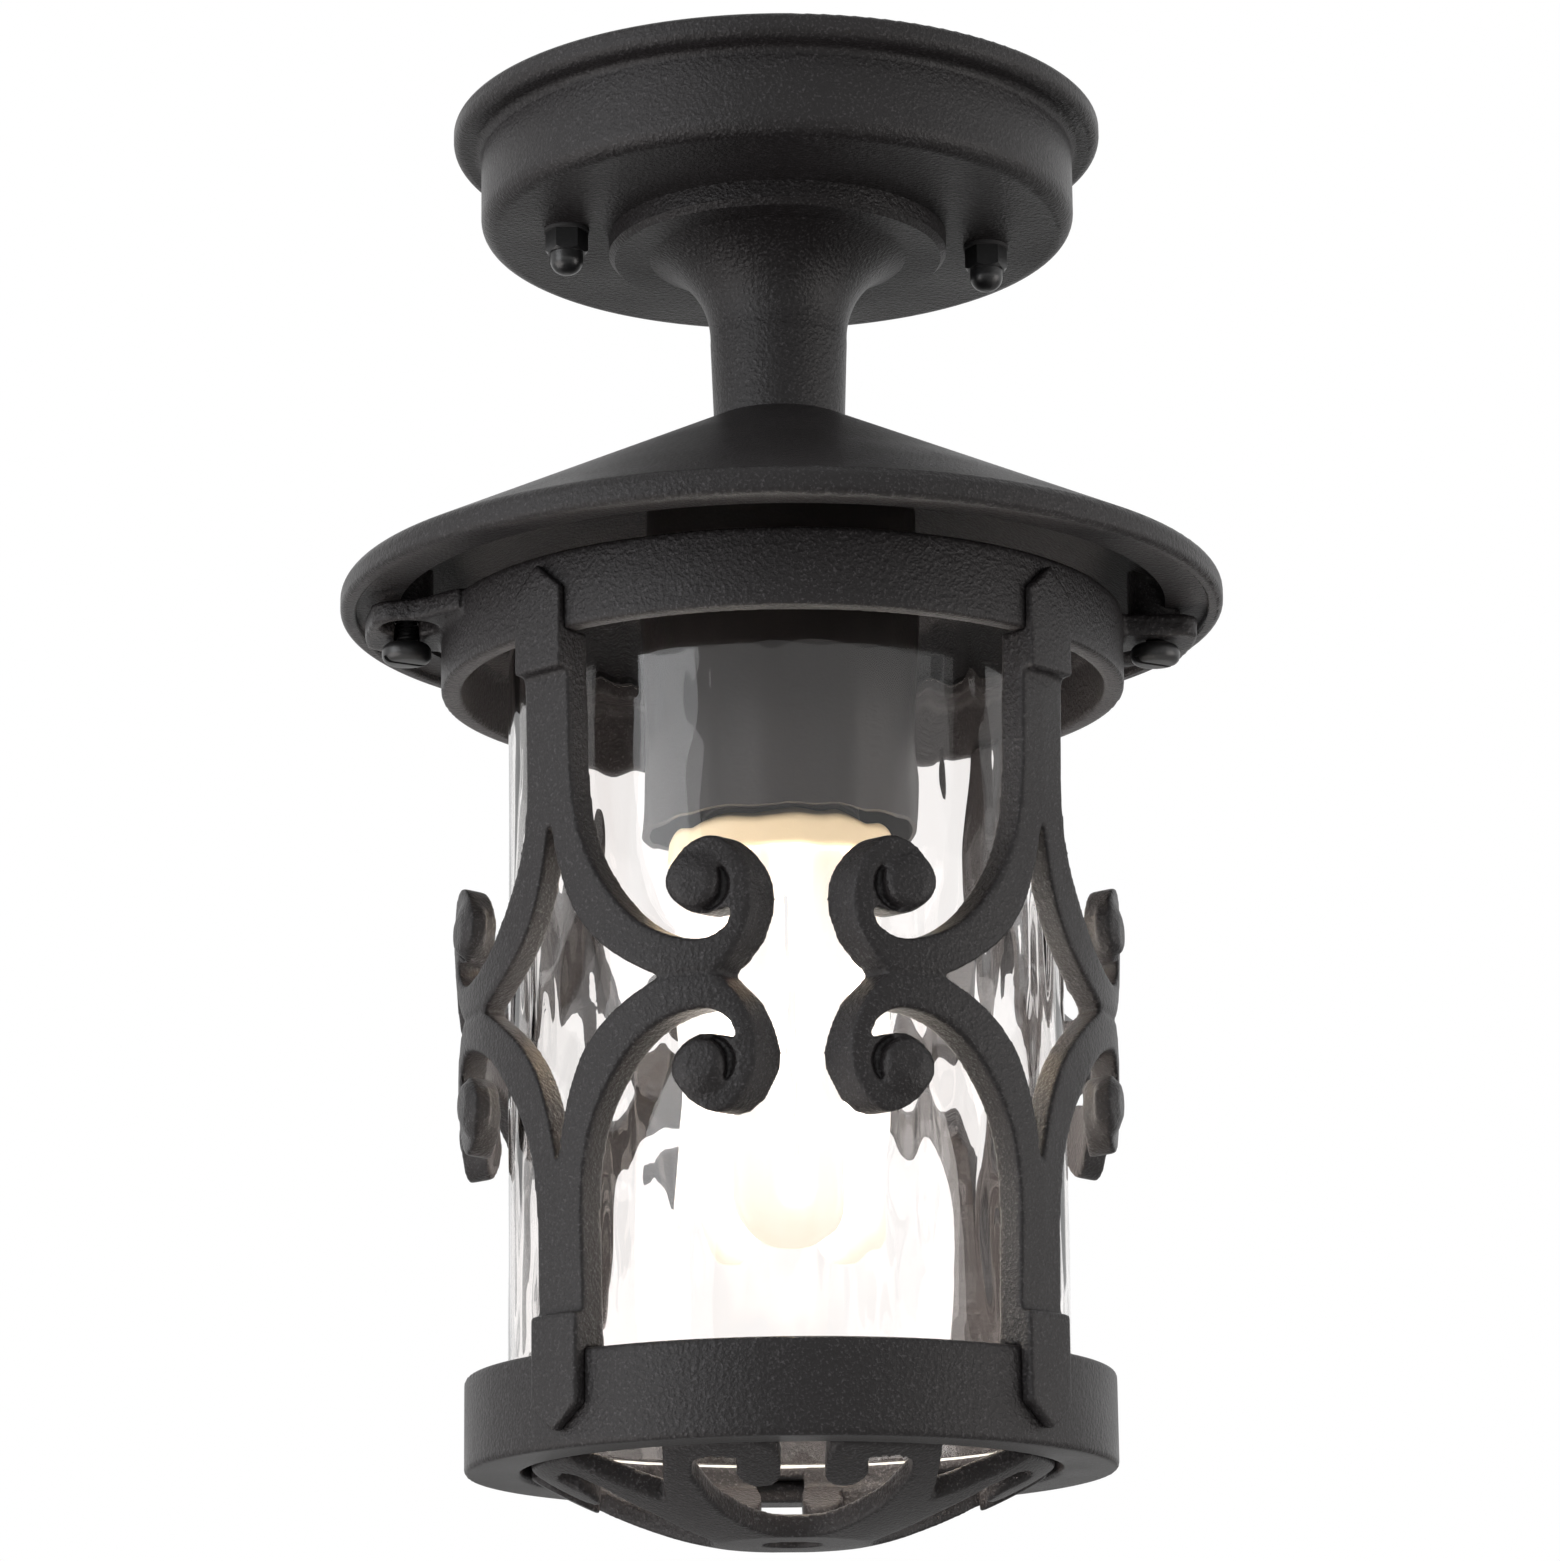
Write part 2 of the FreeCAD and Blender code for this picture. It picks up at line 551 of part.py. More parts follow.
def lamp_tubes():
    """Glass tubes bent like hairpins, evenly round the lamp's axis."""
    top = lamp_levels()[2] - LAMP_BASE_HEIGHT
    half = LAMP_TUBE_PITCH / 2
    bend = top - LAMP_TUBE_LENGTH + LAMP_TUBE_R + half
    legs = [rod(LAMP_TUBE_R, top, bend, sign * half, -LAMP_TUBE_RING_R) for sign in (1, -1)]
    section = Part.Face(Part.Wire(Part.makeCircle(
        LAMP_TUBE_R, Vector(half, -LAMP_TUBE_RING_R, bend), UP)))
    turn = section.revolve(Vector(0, -LAMP_TUBE_RING_R, bend), Vector(0, 1, 0), 180)
    hairpin = joined([legs[0], legs[1], turn])
    return Part.makeCompound([spun(hairpin, 360 * i / LAMP_TUBES) for i in range(LAMP_TUBES)])


# ---------------------------------------------------------------- cage
def ear():
    """Lug of the right-hand ear with its keyhole; the wide end lies anticlockwise."""
    near = -(SHANK_R + SLOT_PLAY + 5.4)
    far = SCREW_CIRCLE_R * math.sin(math.radians(KEYHOLE_TWIST)) + KEYHOLE_R
    root_r = UPPER_RING_R - RING_WALL / 2
    outline = [
        (root_r - 8, near), (EAR_REACH_R - 0.6, near, 4), (EAR_REACH_R, near + 10, 24),
        (EAR_REACH_R - 2.4, far - 0.5, 6), (UPPER_RING_R + 5, far + 2.0, 7),
        (root_r - 2, far + 11), (root_r - 8, far)]
    lug = Part.Face(rounded_wire(outline, flat)).extrude(Vector(0, 0, EAR_THICKNESS))
    lug.translate(Vector(0, 0, EAR_BOTTOM))
    lug = lug.cut(rod(root_r, UPPER_RING_TOP, EAR_BOTTOM))
    return lug.cut(keyhole())


def keyhole():
    """Arc slot for the shank, from the X axis to a hole that lets the head through."""
    slot_r = SHANK_R + SLOT_PLAY
    sector = Part.makeCylinder(SCREW_CIRCLE_R + slot_r, EAR_THICKNESS, Vector(0, 0, EAR_BOTTOM), UP,
                               KEYHOLE_TWIST)
    core = rod(SCREW_CIRCLE_R - slot_r, UPPER_RING_TOP, EAR_BOTTOM)
    wide_x, wide_y = polar(SCREW_CIRCLE_R, KEYHOLE_TWIST)
    narrow_end = rod(slot_r, UPPER_RING_TOP, EAR_BOTTOM, SCREW_CIRCLE_R)
    wide_end = rod(KEYHOLE_R, UPPER_RING_TOP, EAR_BOTTOM, wide_x, wide_y)
    return sector.cut(core).fuse([narrow_end, wide_end])


def upper_ring():
    """Thin band with two ears, and a collar inside its top that steadies the glass."""
    wall_r = UPPER_RING_R - RING_WALL
    band = turned([
        (wall_r, UPPER_RING_BOTTOM), (UPPER_RING_R, UPPER_RING_BOTTOM, 0.8),
        (UPPER_RING_R, UPPER_RING_TOP, 0.8), (COLLAR_R, UPPER_RING_TOP),
        (COLLAR_R, UPPER_RING_TOP - COLLAR_THICKNESS), (wall_r, UPPER_RING_TOP - COLLAR_THICKNESS, 2.0)])
    right = ear()
    return joined([band, right, spun(right, 180)])


def lower_ring():
    return turned([
        (LOWER_FLANGE_R, LOWER_RING_BOTTOM, 0.6), (LOWER_RING_R, LOWER_RING_BOTTOM, 0.8),
        (LOWER_RING_R, LOWER_RING_TOP, 0.8), (LOWER_BORE_R, LOWER_RING_TOP),
        (LOWER_BORE_R, FLANGE_TOP), (LOWER_FLANGE_R, FLANGE_TOP)])


def cage_r(height):
    """Radius of the cage's front, which tapers from the upper ring to the lower one."""
    top_r = UPPER_RING_R - BAR_TOP_INSET
    foot_r = LOWER_RING_R + BAR_FOOT_PROUD
    return top_r + (foot_r - top_r) * (UPPER_RING_BOTTOM - height) / WINDOW_HEIGHT


def taper_layer(back, front):
    """Conical layer between two depths, measured outwards from the cage's front."""
    top = UPPER_RING_BOTTOM
    bottom = LOWER_RING_TOP
    return turned([
        (cage_r(bottom) + back, bottom), (cage_r(bottom) + front, bottom),
        (cage_r(top) + front, top), (cage_r(top) + back, top)])


def scroll_points():
    """Corners of a scroll, across from the bar's middle and up from the scrolls' middle."""
    reach = SCROLL_REACH
    rise = SCROLL_RISE
    return {
        "band": (reach - 11.0, SCROLL_BAND), "throat": (reach - 3.7, SCROLL_BAND + 6.7),
        "under_eye": (reach - 9.5, rise - 16.9), "eye_side": (reach - 15.1, rise - 10.2),
        "crown": (reach - 6.9, rise), "outermost": (reach, rise - 12.9),
        "seam_end": (reach - 7.1, 0)}


def scroll_outline(half_window):
    """Upper right quarter of a pillar, drawn from the middle of its scrolls."""
    side = BAR_WIDTH / 2
    reach = SCROLL_REACH
    rise = SCROLL_RISE
    points = {name: upright(*place) for name, place in scroll_points().items()}
    bar_end = SPLIT_HEIGHT + 17.0
    concave = curve([
        upright(side, bar_end), upright(side + 0.2, SPLIT_HEIGHT + 6), upright(side + 3.3, rise),
        upright(side + 8.3, rise - 8.9), upright(reach - 23.0, SCROLL_BAND + 5.5), points["band"]])
    diamond = curve([
        upright(SEAM_REACH, 0), upright(SEAM_REACH - 6.9, 3.8), upright(SEAM_REACH - 13.2, 8.4),
        upright(SEAM_REACH - 18.4, 14.1), upright(SEAM_REACH - 22.0, 21.0),
        upright(0, SPLIT_HEIGHT)])
    outside = curve([
        points["eye_side"], upright(reach - 12.6, rise - 2.7), points["crown"],
        upright(reach - 1.6, rise - 5.6), points["outermost"], upright(reach - 1.6, 8.1),
        points["seam_end"]])
    edges = [
        Part.makeLine(upright(0, half_window), upright(side, half_window)),
        Part.makeLine(upright(side, half_window), upright(side, bar_end)),
        concave,
        Part.Arc(points["band"], upright(reach - 6.0, SCROLL_BAND + 1.5), points["throat"]).toShape(),
        Part.Arc(points["throat"], upright(reach - 6.6, rise - 16.4), points["under_eye"]).toShape(),
        Part.Arc(points["under_eye"], upright(reach - 13.8, rise - 14.4), points["eye_side"]).toShape(),
        outside,
        Part.makeLine(points["seam_end"], upright(SEAM_REACH, 0)),
        diamond,
        Part.makeLine(upright(0, SPLIT_HEIGHT), upright(0, half_window))]
    return Part.Face(Part.Wire(edges))


def scroll_middle():
    return (UPPER_RING_BOTTOM + LOWER_RING_TOP) / 2 - SCROLL_DIP


def pad(ring_r, proud, seat, tail, head):
    """Strap end that laps over a ring from its edge at the seat, with a pointed end."""
    side = PAD_WIDTH / 2
    way = math.copysign(1, head)
    step = seat - way * tail
    tip = seat + head
    edge = tip - way * PAD_POINT
    shape = [(-side, step), (side, step), (side, edge), (0, tip), (-side, edge)]
    block = Part.Face(rounded_wire(shape, upright)).extrude(Vector(0, ring_r + proud + 1, 0))
    block = block.common(ring(ring_r + proud, ring_r - RING_WALL / 2, max(step, tip), min(step, tip)))
    return block.cut(rod(ring_r, max(seat, tip), min(seat, tip)))


def eye_places():
    """Middles of the four eyes, across the bar and up from the scrolls' middle."""
    across = SCROLL_REACH - 9.9
    up = SCROLL_RISE - 10.7
    return [(side * across, way * up) for side in (1, -1) for way in (1, -1)]


def on_cage(shape, across, up):
    """Shape drawn round Z from the cage's front, stood square on the front at a place."""
    height = scroll_middle() + up
    radius = cage_r(height)
    placed = shape.copy()
    placed.rotate(CENTRE, Vector(1, 0, 0), -90)
    placed.translate(Vector(0, radius, height))
    return spun(placed, -math.degrees(math.asin(across / radius)))


def eye(across, up):
    """Round button at the end of a scroll."""
    button = turned([(0, -BAR_THICKNESS / 2), (EYE_R, -BAR_THICKNESS / 2),
                     (EYE_R, EYE_PROUD, EYE_ROUND), (0, EYE_PROUD)])
    return on_cage(button, across, up)


def eye_hollow(across, up):
    """Hollow between an eye and the band that curls round it."""
    hollow = rod(EYE_R + 0.7, EYE_PROUD, -EYE_GROOVE)
    return on_cage(hollow, across + math.copysign(EYE_R / 4, across), up)


def pillar():
    """Split bar with four scrolls, standing on the +Y side."""
    middle = scroll_middle()
    quarters = []
    for up_sign, room in ((1, UPPER_RING_BOTTOM - middle), (-1, middle - LOWER_RING_TOP)):
        quarter = scroll_outline(room)
        if up_sign < 0:
            quarter = quarter.mirror(CENTRE, UP)
        quarters.append(quarter)
        quarters.append(quarter.mirror(CENTRE, Vector(1, 0, 0)))
    reach = Vector(0, UPPER_RING_R + 1, 0)
    plates = [quarter.extrude(reach) for quarter in quarters]
    for plate in plates:
        plate.translate(Vector(0, 0, middle))
    body = joined(plates).common(taper_layer(-BAR_THICKNESS, 0))
    for across, up in eye_places():
        body = body.cut(eye_hollow(across, up))
    body = joined([body] + [eye(across, up) for across, up in eye_places()])
    front = cage_r(middle)
    seam = turned([(front - SEAM_DEPTH, middle), (front + SEAM_DEPTH, middle + 2 * SEAM_DEPTH),
                   (front + SEAM_DEPTH, middle - 2 * SEAM_DEPTH)])
    body = body.cut(seam)
    upper_pad = pad(UPPER_RING_R, UPPER_PAD_PROUD, UPPER_RING_BOTTOM, UPPER_PAD_TAIL, UPPER_PAD_HEAD)
    lower_pad = pad(LOWER_RING_R, LOWER_PAD_PROUD, LOWER_RING_TOP, LOWER_PAD_TAIL, -LOWER_PAD_HEAD)
    return joined([body, upper_pad, lower_pad])


def retaining_screw(x):
    """Shouldered screw: thread in the roof's boss, shank in the ear, slotted head below it."""
    head_top = EAR_BOTTOM - MOVING_GAP
    head_bottom = head_top - SCREW_HEAD_HEIGHT
    thread_top = head_top + EAR_THICKNESS + SCREW_THREAD_LENGTH
    screw = turned([
        (0, thread_top), (SHANK_R, thread_top, 0.6), (SHANK_R, head_top), (SCREW_HEAD_R, head_top, 0.5),
        (SCREW_HEAD_R, head_bottom, 1.2), (0, head_bottom)])
    slot = Part.makeBox(2 * SCREW_HEAD_R, SCREW_SLOT, SCREW_SLOT,
                        Vector(-SCREW_HEAD_R, -SCREW_SLOT / 2, head_bottom))
    screw = screw.cut(slot)
    screw.translate(Vector(x, 0, 0))
    return screw


# ---------------------------------------------------------------- glass and grille
def glass_cushion():
    return ring(GLASS_R, GLASS_R - GLASS_WALL, GRILLE_TOP + CUSHION_THICKNESS, GRILLE_TOP)


def glass_cylinder():
    bottom = GRILLE_TOP + CUSHION_THICKNESS
    top = UPPER_RING_TOP - GLASS_BELOW_COLLAR
    return turned([
        (GLASS_R - GLASS_WALL, bottom), (GLASS_R, bottom), (GLASS_R, top, 0.8),
        (GLASS_R - GLASS_WALL, top, 0.8)])


def dish_layer():
    """Dished layer that the grille is cut from: flat at the hub, rising to the rim."""
    def bowl(lift):
        hub = Vector(HUB_R, 0, GRILLE_BOTTOM + lift)
        rim = Vector(GRILLE_R, 0, LOWER_RING_BOTTOM + lift)
        middle = (hub + rim) * 0.5 - Vector(0, 0, GRILLE_SAG)
        return hub, Part.Arc(hub, middle, rim).toShape(), rim

    low_hub, low_arc, low_rim = bowl(0)
    high_hub, high_arc, high_rim = bowl(GRILLE_THICKNESS)
    low_middle = Vector(0, 0, GRILLE_BOTTOM)
    high_middle = Vector(0, 0, GRILLE_BOTTOM + GRILLE_THICKNESS)
    edges = [
        Part.makeLine(low_middle, low_hub), low_arc, Part.makeLine(low_rim, high_rim), high_arc,
        Part.makeLine(high_hub, high_middle), Part.makeLine(high_middle, low_middle)]
    return Part.Face(Part.Wire(edges)).revolve(CENTRE, UP, 360)


def lobe_half():
    """Half of a heart-shaped lobe, drawn with its middle line along +Y."""
    def p(t, s):
        return Vector(t, s, 0)

    def on_rim(t):
        return Vector(t, math.sqrt(GRILLE_R ** 2 - t ** 2), 0)

    edges = [
        Part.makeLine(p(0, 0), p(0, HUB_R)),
        curve([p(0, HUB_R), p(6.2, 18.6), p(13.0, 25.0), p(17.9, 31.2), p(21.8, 39.3), p(23.1, 46.0)],
              Vector(20, 0, 0), Vector(0, 20, 0)),
        Part.Arc(p(23.1, 46.0), p(21.2, 49.0), p(17.5, 50.4)).toShape(),
        Part.makeLine(p(17.5, 50.4), p(14.0, 51.0)),
        Part.Arc(p(14.0, 51.0), p(13.6, 48.8), p(13.9, 46.6)).toShape(),
        Part.Arc(p(13.9, 46.6), p(9.3, 41.8), p(4.7, 46.6)).toShape(),
        curve([p(4.7, 46.6), p(4.9, 52.6), on_rim(9.5)], Vector(0, 10, 0), Vector(10, 0, 0)),
        Part.Arc(on_rim(9.5), on_rim(20.0), on_rim(29.4)).toShape(),
        curve([on_rim(29.4), p(29.2, 41.0), p(28.2, 28.2)]),
        Part.makeLine(p(28.2, 28.2), p(0, 0))]
    return Part.Face(Part.Wire(edges))


def bottom_grille():
    """Four heart lobes on a dish round a pierced hub, hung from a rim that lies on the flange."""
    half = lobe_half()
    rise = Vector(0, 0, GRILLE_TOP - GRILLE_BOTTOM)
    blades = []
    for face in (half, half.mirror(CENTRE, Vector(1, 0, 0))):
        blade = face.extrude(rise)
        blade.translate(Vector(0, 0, GRILLE_BOTTOM))
        blades += [spun(blade, 90 * i) for i in range(4)]
    posts = ring(GRILLE_R, GRILLE_R - GRILLE_POST_WIDTH, GRILLE_TOP, LOWER_RING_BOTTOM)
    blades = joined(blades)
    lobes = blades.common(dish_layer().fuse(posts))
    rim_outer = LOWER_BORE_R - MOVING_GAP
    rim = ring(rim_outer, rim_outer - GRILLE_RIM_WIDTH, GRILLE_TOP, FLANGE_TOP)
    hub = rod(HUB_R, GRILLE_BOTTOM + GRILLE_THICKNESS, GRILLE_BOTTOM)
    hole = rod(HUB_HOLE_R, GRILLE_BOTTOM + GRILLE_THICKNESS, GRILLE_BOTTOM)
    return joined([lobes, hub, rim]).cut(hole)


# ---------------------------------------------------------------- wiring
def block_screw_places():
    return [-BLOCK_LENGTH / 2 + BLOCK_LENGTH * (i + 0.5) / 3 for i in range(3)]


def terminal_block():
    half = BLOCK_LENGTH / 2
    side = BLOCK_WIDTH / 2
    outline = [(-half, BLOCK_Y - side, 1.5), (half, BLOCK_Y - side, 1.5),
               (half, BLOCK_Y + side, 1.5), (-half, BLOCK_Y + side, 1.5)]
    block = Part.Face(rounded_wire(outline, flat)).extrude(Vector(0, 0, BLOCK_HEIGHT))
    block.translate(Vector(0, 0, FLOOR_TOP))
    top = FLOOR_TOP + BLOCK_HEIGHT
    for x in block_screw_places():
        block = block.cut(rod(BLOCK_SCREW_R, top, top - BLOCK_HEIGHT / 3, x, BLOCK_Y))
    return block


def terminal_screws():
    bottom = FLOOR_TOP + BLOCK_HEIGHT - BLOCK_HEIGHT / 3
    top = bottom + BLOCK_HEIGHT / 6
    return Part.makeCompound([rod(BLOCK_SCREW_R, top, bottom, x, BLOCK_Y)
                              for x in block_screw_places()])


def earth_screw():
    seat = FLOOR_TOP + EARTH_BOSS_HEIGHT
    shank = rod(EARTH_SCREW_R, seat, FLOOR_TOP, 0, EARTH_Y)
    head = rod(EARTH_HEAD_R, seat + EARTH_HEAD_HEIGHT, seat, 0, EARTH_Y)
    slot = Part.makeBox(2 * EARTH_HEAD_R, 1.0, 1.0,
                        Vector(-EARTH_HEAD_R, EARTH_Y - 0.5, seat + EARTH_HEAD_HEIGHT - 1.0))
    return shank.fuse(head).cut(slot).removeSplitter()


def lamp_wires():
    """Two insulated leads from the block, over the tube's mouth and down to the lampholder."""
    start_y = BLOCK_Y - BLOCK_WIDTH / 2
    bend = WIRE_BEND_R
    level = TUBE_TOP + WIRE_BEND_R / 2 + WIRE_R
    wires = []
    for x in (WIRE_SPREAD, -WIRE_SPREAD):
        corner = Vector(x, bend, level - bend)
        section = Part.Face(Part.Wire(Part.makeCircle(WIRE_R, Vector(x, bend, level), Vector(0, 1, 0))))
        run = section.extrude(Vector(0, start_y - bend, 0))
        turn = section.revolve(corner, Vector(1, 0, 0), 90)
        drop = rod(WIRE_R, level - bend, INSULATOR_TOP, x, 0)
        wires.append(joined([run, turn, drop]))
    return Part.makeCompound(wires)


# ---------------------------------------------------------------- writing the parts
def all_parts():
    left_stud, right_stud = stud_places()[1], stud_places()[0]
    parts = {
        "mounting_strap": mounting_strap(),
        "strap_studs": strap_studs(),
        "stud_lock_nuts": stud_lock_nuts(),
        "ceiling_gasket": ceiling_gasket(),
        "ceiling_plate": ceiling_plate(),
        "cap_nut_washers": cap_nut_washers(),
        "cap_nut_left": cap_nut(*left_stud),
        "cap_nut_right": cap_nut(*right_stud),
        "terminal_block": terminal_block(),
        "terminal_screws": terminal_screws(),
        "earth_screw": earth_screw(),
        "lamp_wires": lamp_wires(),
        "stem": stem(),
        "threaded_tube": threaded_tube(),
        "tube_washers": tube_washers(),
        "tube_nuts": tube_nuts(),
        "roof": roof(),
        "roof_seal": roof_seal(),
        "lamp_cup": lamp_cup(),
        "holder_body": holder_body(),
        "holder_insulator": holder_insulator(),
        "holder_contact": holder_contact(),
        "holder_shell": holder_shell(),
        "lamp_tip": lamp_tip(),
        "lamp_cap": lamp_cap(),
        "lamp_base": lamp_base(),
        "lamp_tubes": lamp_tubes(),
        "retaining_screw_left": retaining_screw(-SCREW_CIRCLE_R),
        "retaining_screw_right": retaining_screw(SCREW_CIRCLE_R),
        "upper_ring": upper_ring(),
        "lower_ring": lower_ring(),
        "glass_cushion": glass_cushion(),
        "glass_cylinder": glass_cylinder(),
        "bottom_grille": bottom_grille(),
    }
    upright_pillar = pillar()
    corners = {"pillar_rear_left": 45, "pillar_front_left": 135,
               "pillar_front_right": 225, "pillar_rear_right": 315}
    for name, angle in corners.items():
        parts[name] = spun(upright_pillar, angle)
    return parts


def main():
    os.makedirs("parts", exist_ok=True)
    for name, shape in all_parts().items():
        shape.exportStep("parts/" + name + ".step")
        box = shape.BoundBox
        print("%-22s solids %d valid %s volume %9.1f  z %7.1f to %7.1f" % (
            name, len(shape.Solids), shape.isValid(), shape.Volume, box.ZMin, box.ZMax))


main()
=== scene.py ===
# %% [markdown]
# # A porch ceiling lantern
#
# The solids of the lantern come in as ready-made nodes: plate, stem, roof, cage, glass and lamp.
# This lesson gives them the finishes of the real thing, and models again the pieces whose charm
# is in the surface: the soft cast cage, the rippled glass and the slotted screws.

# %% Load the solids
import json
import math

import bpy
from mathutils import Matrix, Vector


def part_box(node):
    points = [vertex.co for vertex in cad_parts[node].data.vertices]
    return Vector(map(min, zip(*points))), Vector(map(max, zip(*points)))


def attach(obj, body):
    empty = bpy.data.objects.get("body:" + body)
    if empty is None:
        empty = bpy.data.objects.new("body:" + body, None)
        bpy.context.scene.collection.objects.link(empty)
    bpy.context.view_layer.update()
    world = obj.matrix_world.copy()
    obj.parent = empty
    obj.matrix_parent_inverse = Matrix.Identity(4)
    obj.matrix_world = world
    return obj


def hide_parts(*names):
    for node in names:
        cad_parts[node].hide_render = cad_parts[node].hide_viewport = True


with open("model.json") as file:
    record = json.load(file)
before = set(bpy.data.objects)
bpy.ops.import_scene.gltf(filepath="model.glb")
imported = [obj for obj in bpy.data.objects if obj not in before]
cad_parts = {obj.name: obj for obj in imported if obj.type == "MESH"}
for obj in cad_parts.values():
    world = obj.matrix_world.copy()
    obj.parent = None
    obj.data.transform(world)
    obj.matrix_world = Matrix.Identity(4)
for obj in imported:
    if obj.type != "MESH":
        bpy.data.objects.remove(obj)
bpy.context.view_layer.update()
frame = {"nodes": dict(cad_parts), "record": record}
nodes = frame["nodes"]
print("solids loaded:", len(nodes))

# %% [markdown]
# ## The camera
#
# The lantern hangs overhead, so the camera stands below it, well back, and looks up a little
# with a long lens. A long lens keeps the upright lines almost parallel, as in the photograph.
# The numbers were fitted to the circles of plate, roof and rings. A camera could be aimed with a
# Track To constraint, but three turns in a matrix, heading, tilt and roll, also keep its roll.

# %% Camera
HEADING = -2.8          # degrees from the front window's axis
TILT = 13.824           # degrees that the camera looks up
ROLL = -0.67
DISTANCE = 1.1546       # metres from the lantern's upright axis
HEIGHT = -0.43906
LENS = 121.69
SIDE_SHIFT = -0.0024

camera_data = bpy.data.cameras.new("photo_camera")
camera_data.lens = LENS
camera_data.sensor_width = 36
camera_data.sensor_fit = "HORIZONTAL"
camera_data.shift_x = SIDE_SHIFT
camera = bpy.data.objects.new("photo_camera", camera_data)
bpy.context.collection.objects.link(camera)
heading = math.radians(HEADING)
place = Vector((DISTANCE * math.sin(heading), -DISTANCE * math.cos(heading), HEIGHT))
camera.matrix_world = (
    Matrix.Translation(place)
    @ Matrix.Rotation(heading, 4, "Z")
    @ Matrix.Rotation(math.radians(90 + TILT), 4, "X")
    @ Matrix.Rotation(math.radians(ROLL), 4, "Z"))
bpy.context.scene.camera = camera
print("camera at", [round(v, 3) for v in place])

# %% [markdown]
# ## Light and background
#
# The photograph has an even white background and soft light from both sides. A pale world gives
# the even part. The camera, mirrors and glass see that world at full white, which a Light Path
# node decides, so the background is white without flooding the black castings with light.

# %% World
WORLD_ON_LANTERN, WORLD_SEEN = 0.42, 1.0

scene = bpy.context.scene
scene.view_settings.view_transform = "Standard"
world = bpy.data.worlds.new("white_studio")
scene.world = world
world.use_nodes = True
tree = world.node_tree
tree.nodes.clear()
rays = tree.nodes.new("ShaderNodeLightPath")
camera_or_mirror = tree.nodes.new("ShaderNodeMath")
camera_or_mirror.operation = "MAXIMUM"
or_glass = tree.nodes.new("ShaderNodeMath")
or_glass.operation = "MAXIMUM"
strength = tree.nodes.new("ShaderNodeMapRange")
strength.inputs["To Min"].default_value = WORLD_ON_LANTERN
strength.inputs["To Max"].default_value = WORLD_SEEN
backdrop = tree.nodes.new("ShaderNodeBackground")
backdrop.inputs["Color"].default_value = (1, 1, 1, 1)
output = tree.nodes.new("ShaderNodeOutputWorld")
tree.links.new(rays.outputs["Is Camera Ray"], camera_or_mirror.inputs[0])
tree.links.new(rays.outputs["Is Glossy Ray"], camera_or_mirror.inputs[1])
tree.links.new(camera_or_mirror.outputs[0], or_glass.inputs[0])
tree.links.new(rays.outputs["Is Transmission Ray"], or_glass.inputs[1])
tree.links.new(or_glass.outputs[0], strength.inputs["Value"])
tree.links.new(strength.outputs["Result"], backdrop.inputs["Strength"])
tree.links.new(backdrop.outputs[0], output.inputs["Surface"])
print("world strength on the lantern:", WORLD_ON_LANTERN)

# %% [markdown]
# ## Floor and three soft lamps
#
# A pale floor below the lantern throws a little light back up. A broad cool lamp stands left of
# the camera, like a window, and a weaker one shines along the right side. A third lies low and
# warms the undersides, like light from a pale table. Spots would be easier to aim, but broad
# lamps are dim per square metre, so their mirror images in the glass stay grey, not white.

# %% Floor and lamps
FLOOR_LEVEL = -1.1      # metres under the ceiling
LANTERN_MIDDLE = Vector((0, 0, -0.17))

bpy.ops.object.select_all(action="DESELECT")
bpy.ops.mesh.primitive_plane_add(size=12, location=(0, 0, FLOOR_LEVEL))
floor = bpy.context.object
floor.name = "floor"


def soft_lamp(name, place, size, watts, colour):
    """Square lamp that faces the middle of the lantern."""
    data = bpy.data.lights.new(name, "AREA")
    data.size = size
    data.energy = watts
    data.color = colour
    lamp = bpy.data.objects.new(name, data)
    bpy.context.collection.objects.link(lamp)
    lamp.location = place
    aim = LANTERN_MIDDLE - Vector(place)
    lamp.rotation_euler = aim.to_track_quat("-Z", "Y").to_euler()
    print(name, "gives", watts, "W")


soft_lamp("window_light", (-1.5, -0.95, 0.15), 1.2, 14, (0.95, 0.97, 1.0))
soft_lamp("side_light", (1.6, -0.55, -0.4), 1.1, 11, (1.0, 0.95, 0.92))
soft_lamp("table_light", (-0.95, -0.3, -0.85), 1.2, 12, (1.0, 0.95, 0.93))

# %% [markdown]
# ## Tools for the bench
#
# A few small helpers keep the modelling steps readable. An operator acts on whatever is
# selected, so every step starts with a clean selection. Modifiers could stay live, but they are
# applied as soon as they have done their work, so the finished mesh holds everything.


# %% Bench helpers
def pick(piece):
    """Make one object the only selected and active one."""
    bpy.ops.object.select_all(action="DESELECT")
    piece.select_set(True)
    bpy.context.view_layer.objects.active = piece


def settle(piece):
    """Apply the modifiers in their order, and put the piece's place into its mesh."""
    pick(piece)
    for modifier in list(piece.modifiers):
        bpy.ops.object.modifier_apply(modifier=modifier.name)
    bpy.ops.object.transform_apply(location=True, rotation=True, scale=True)


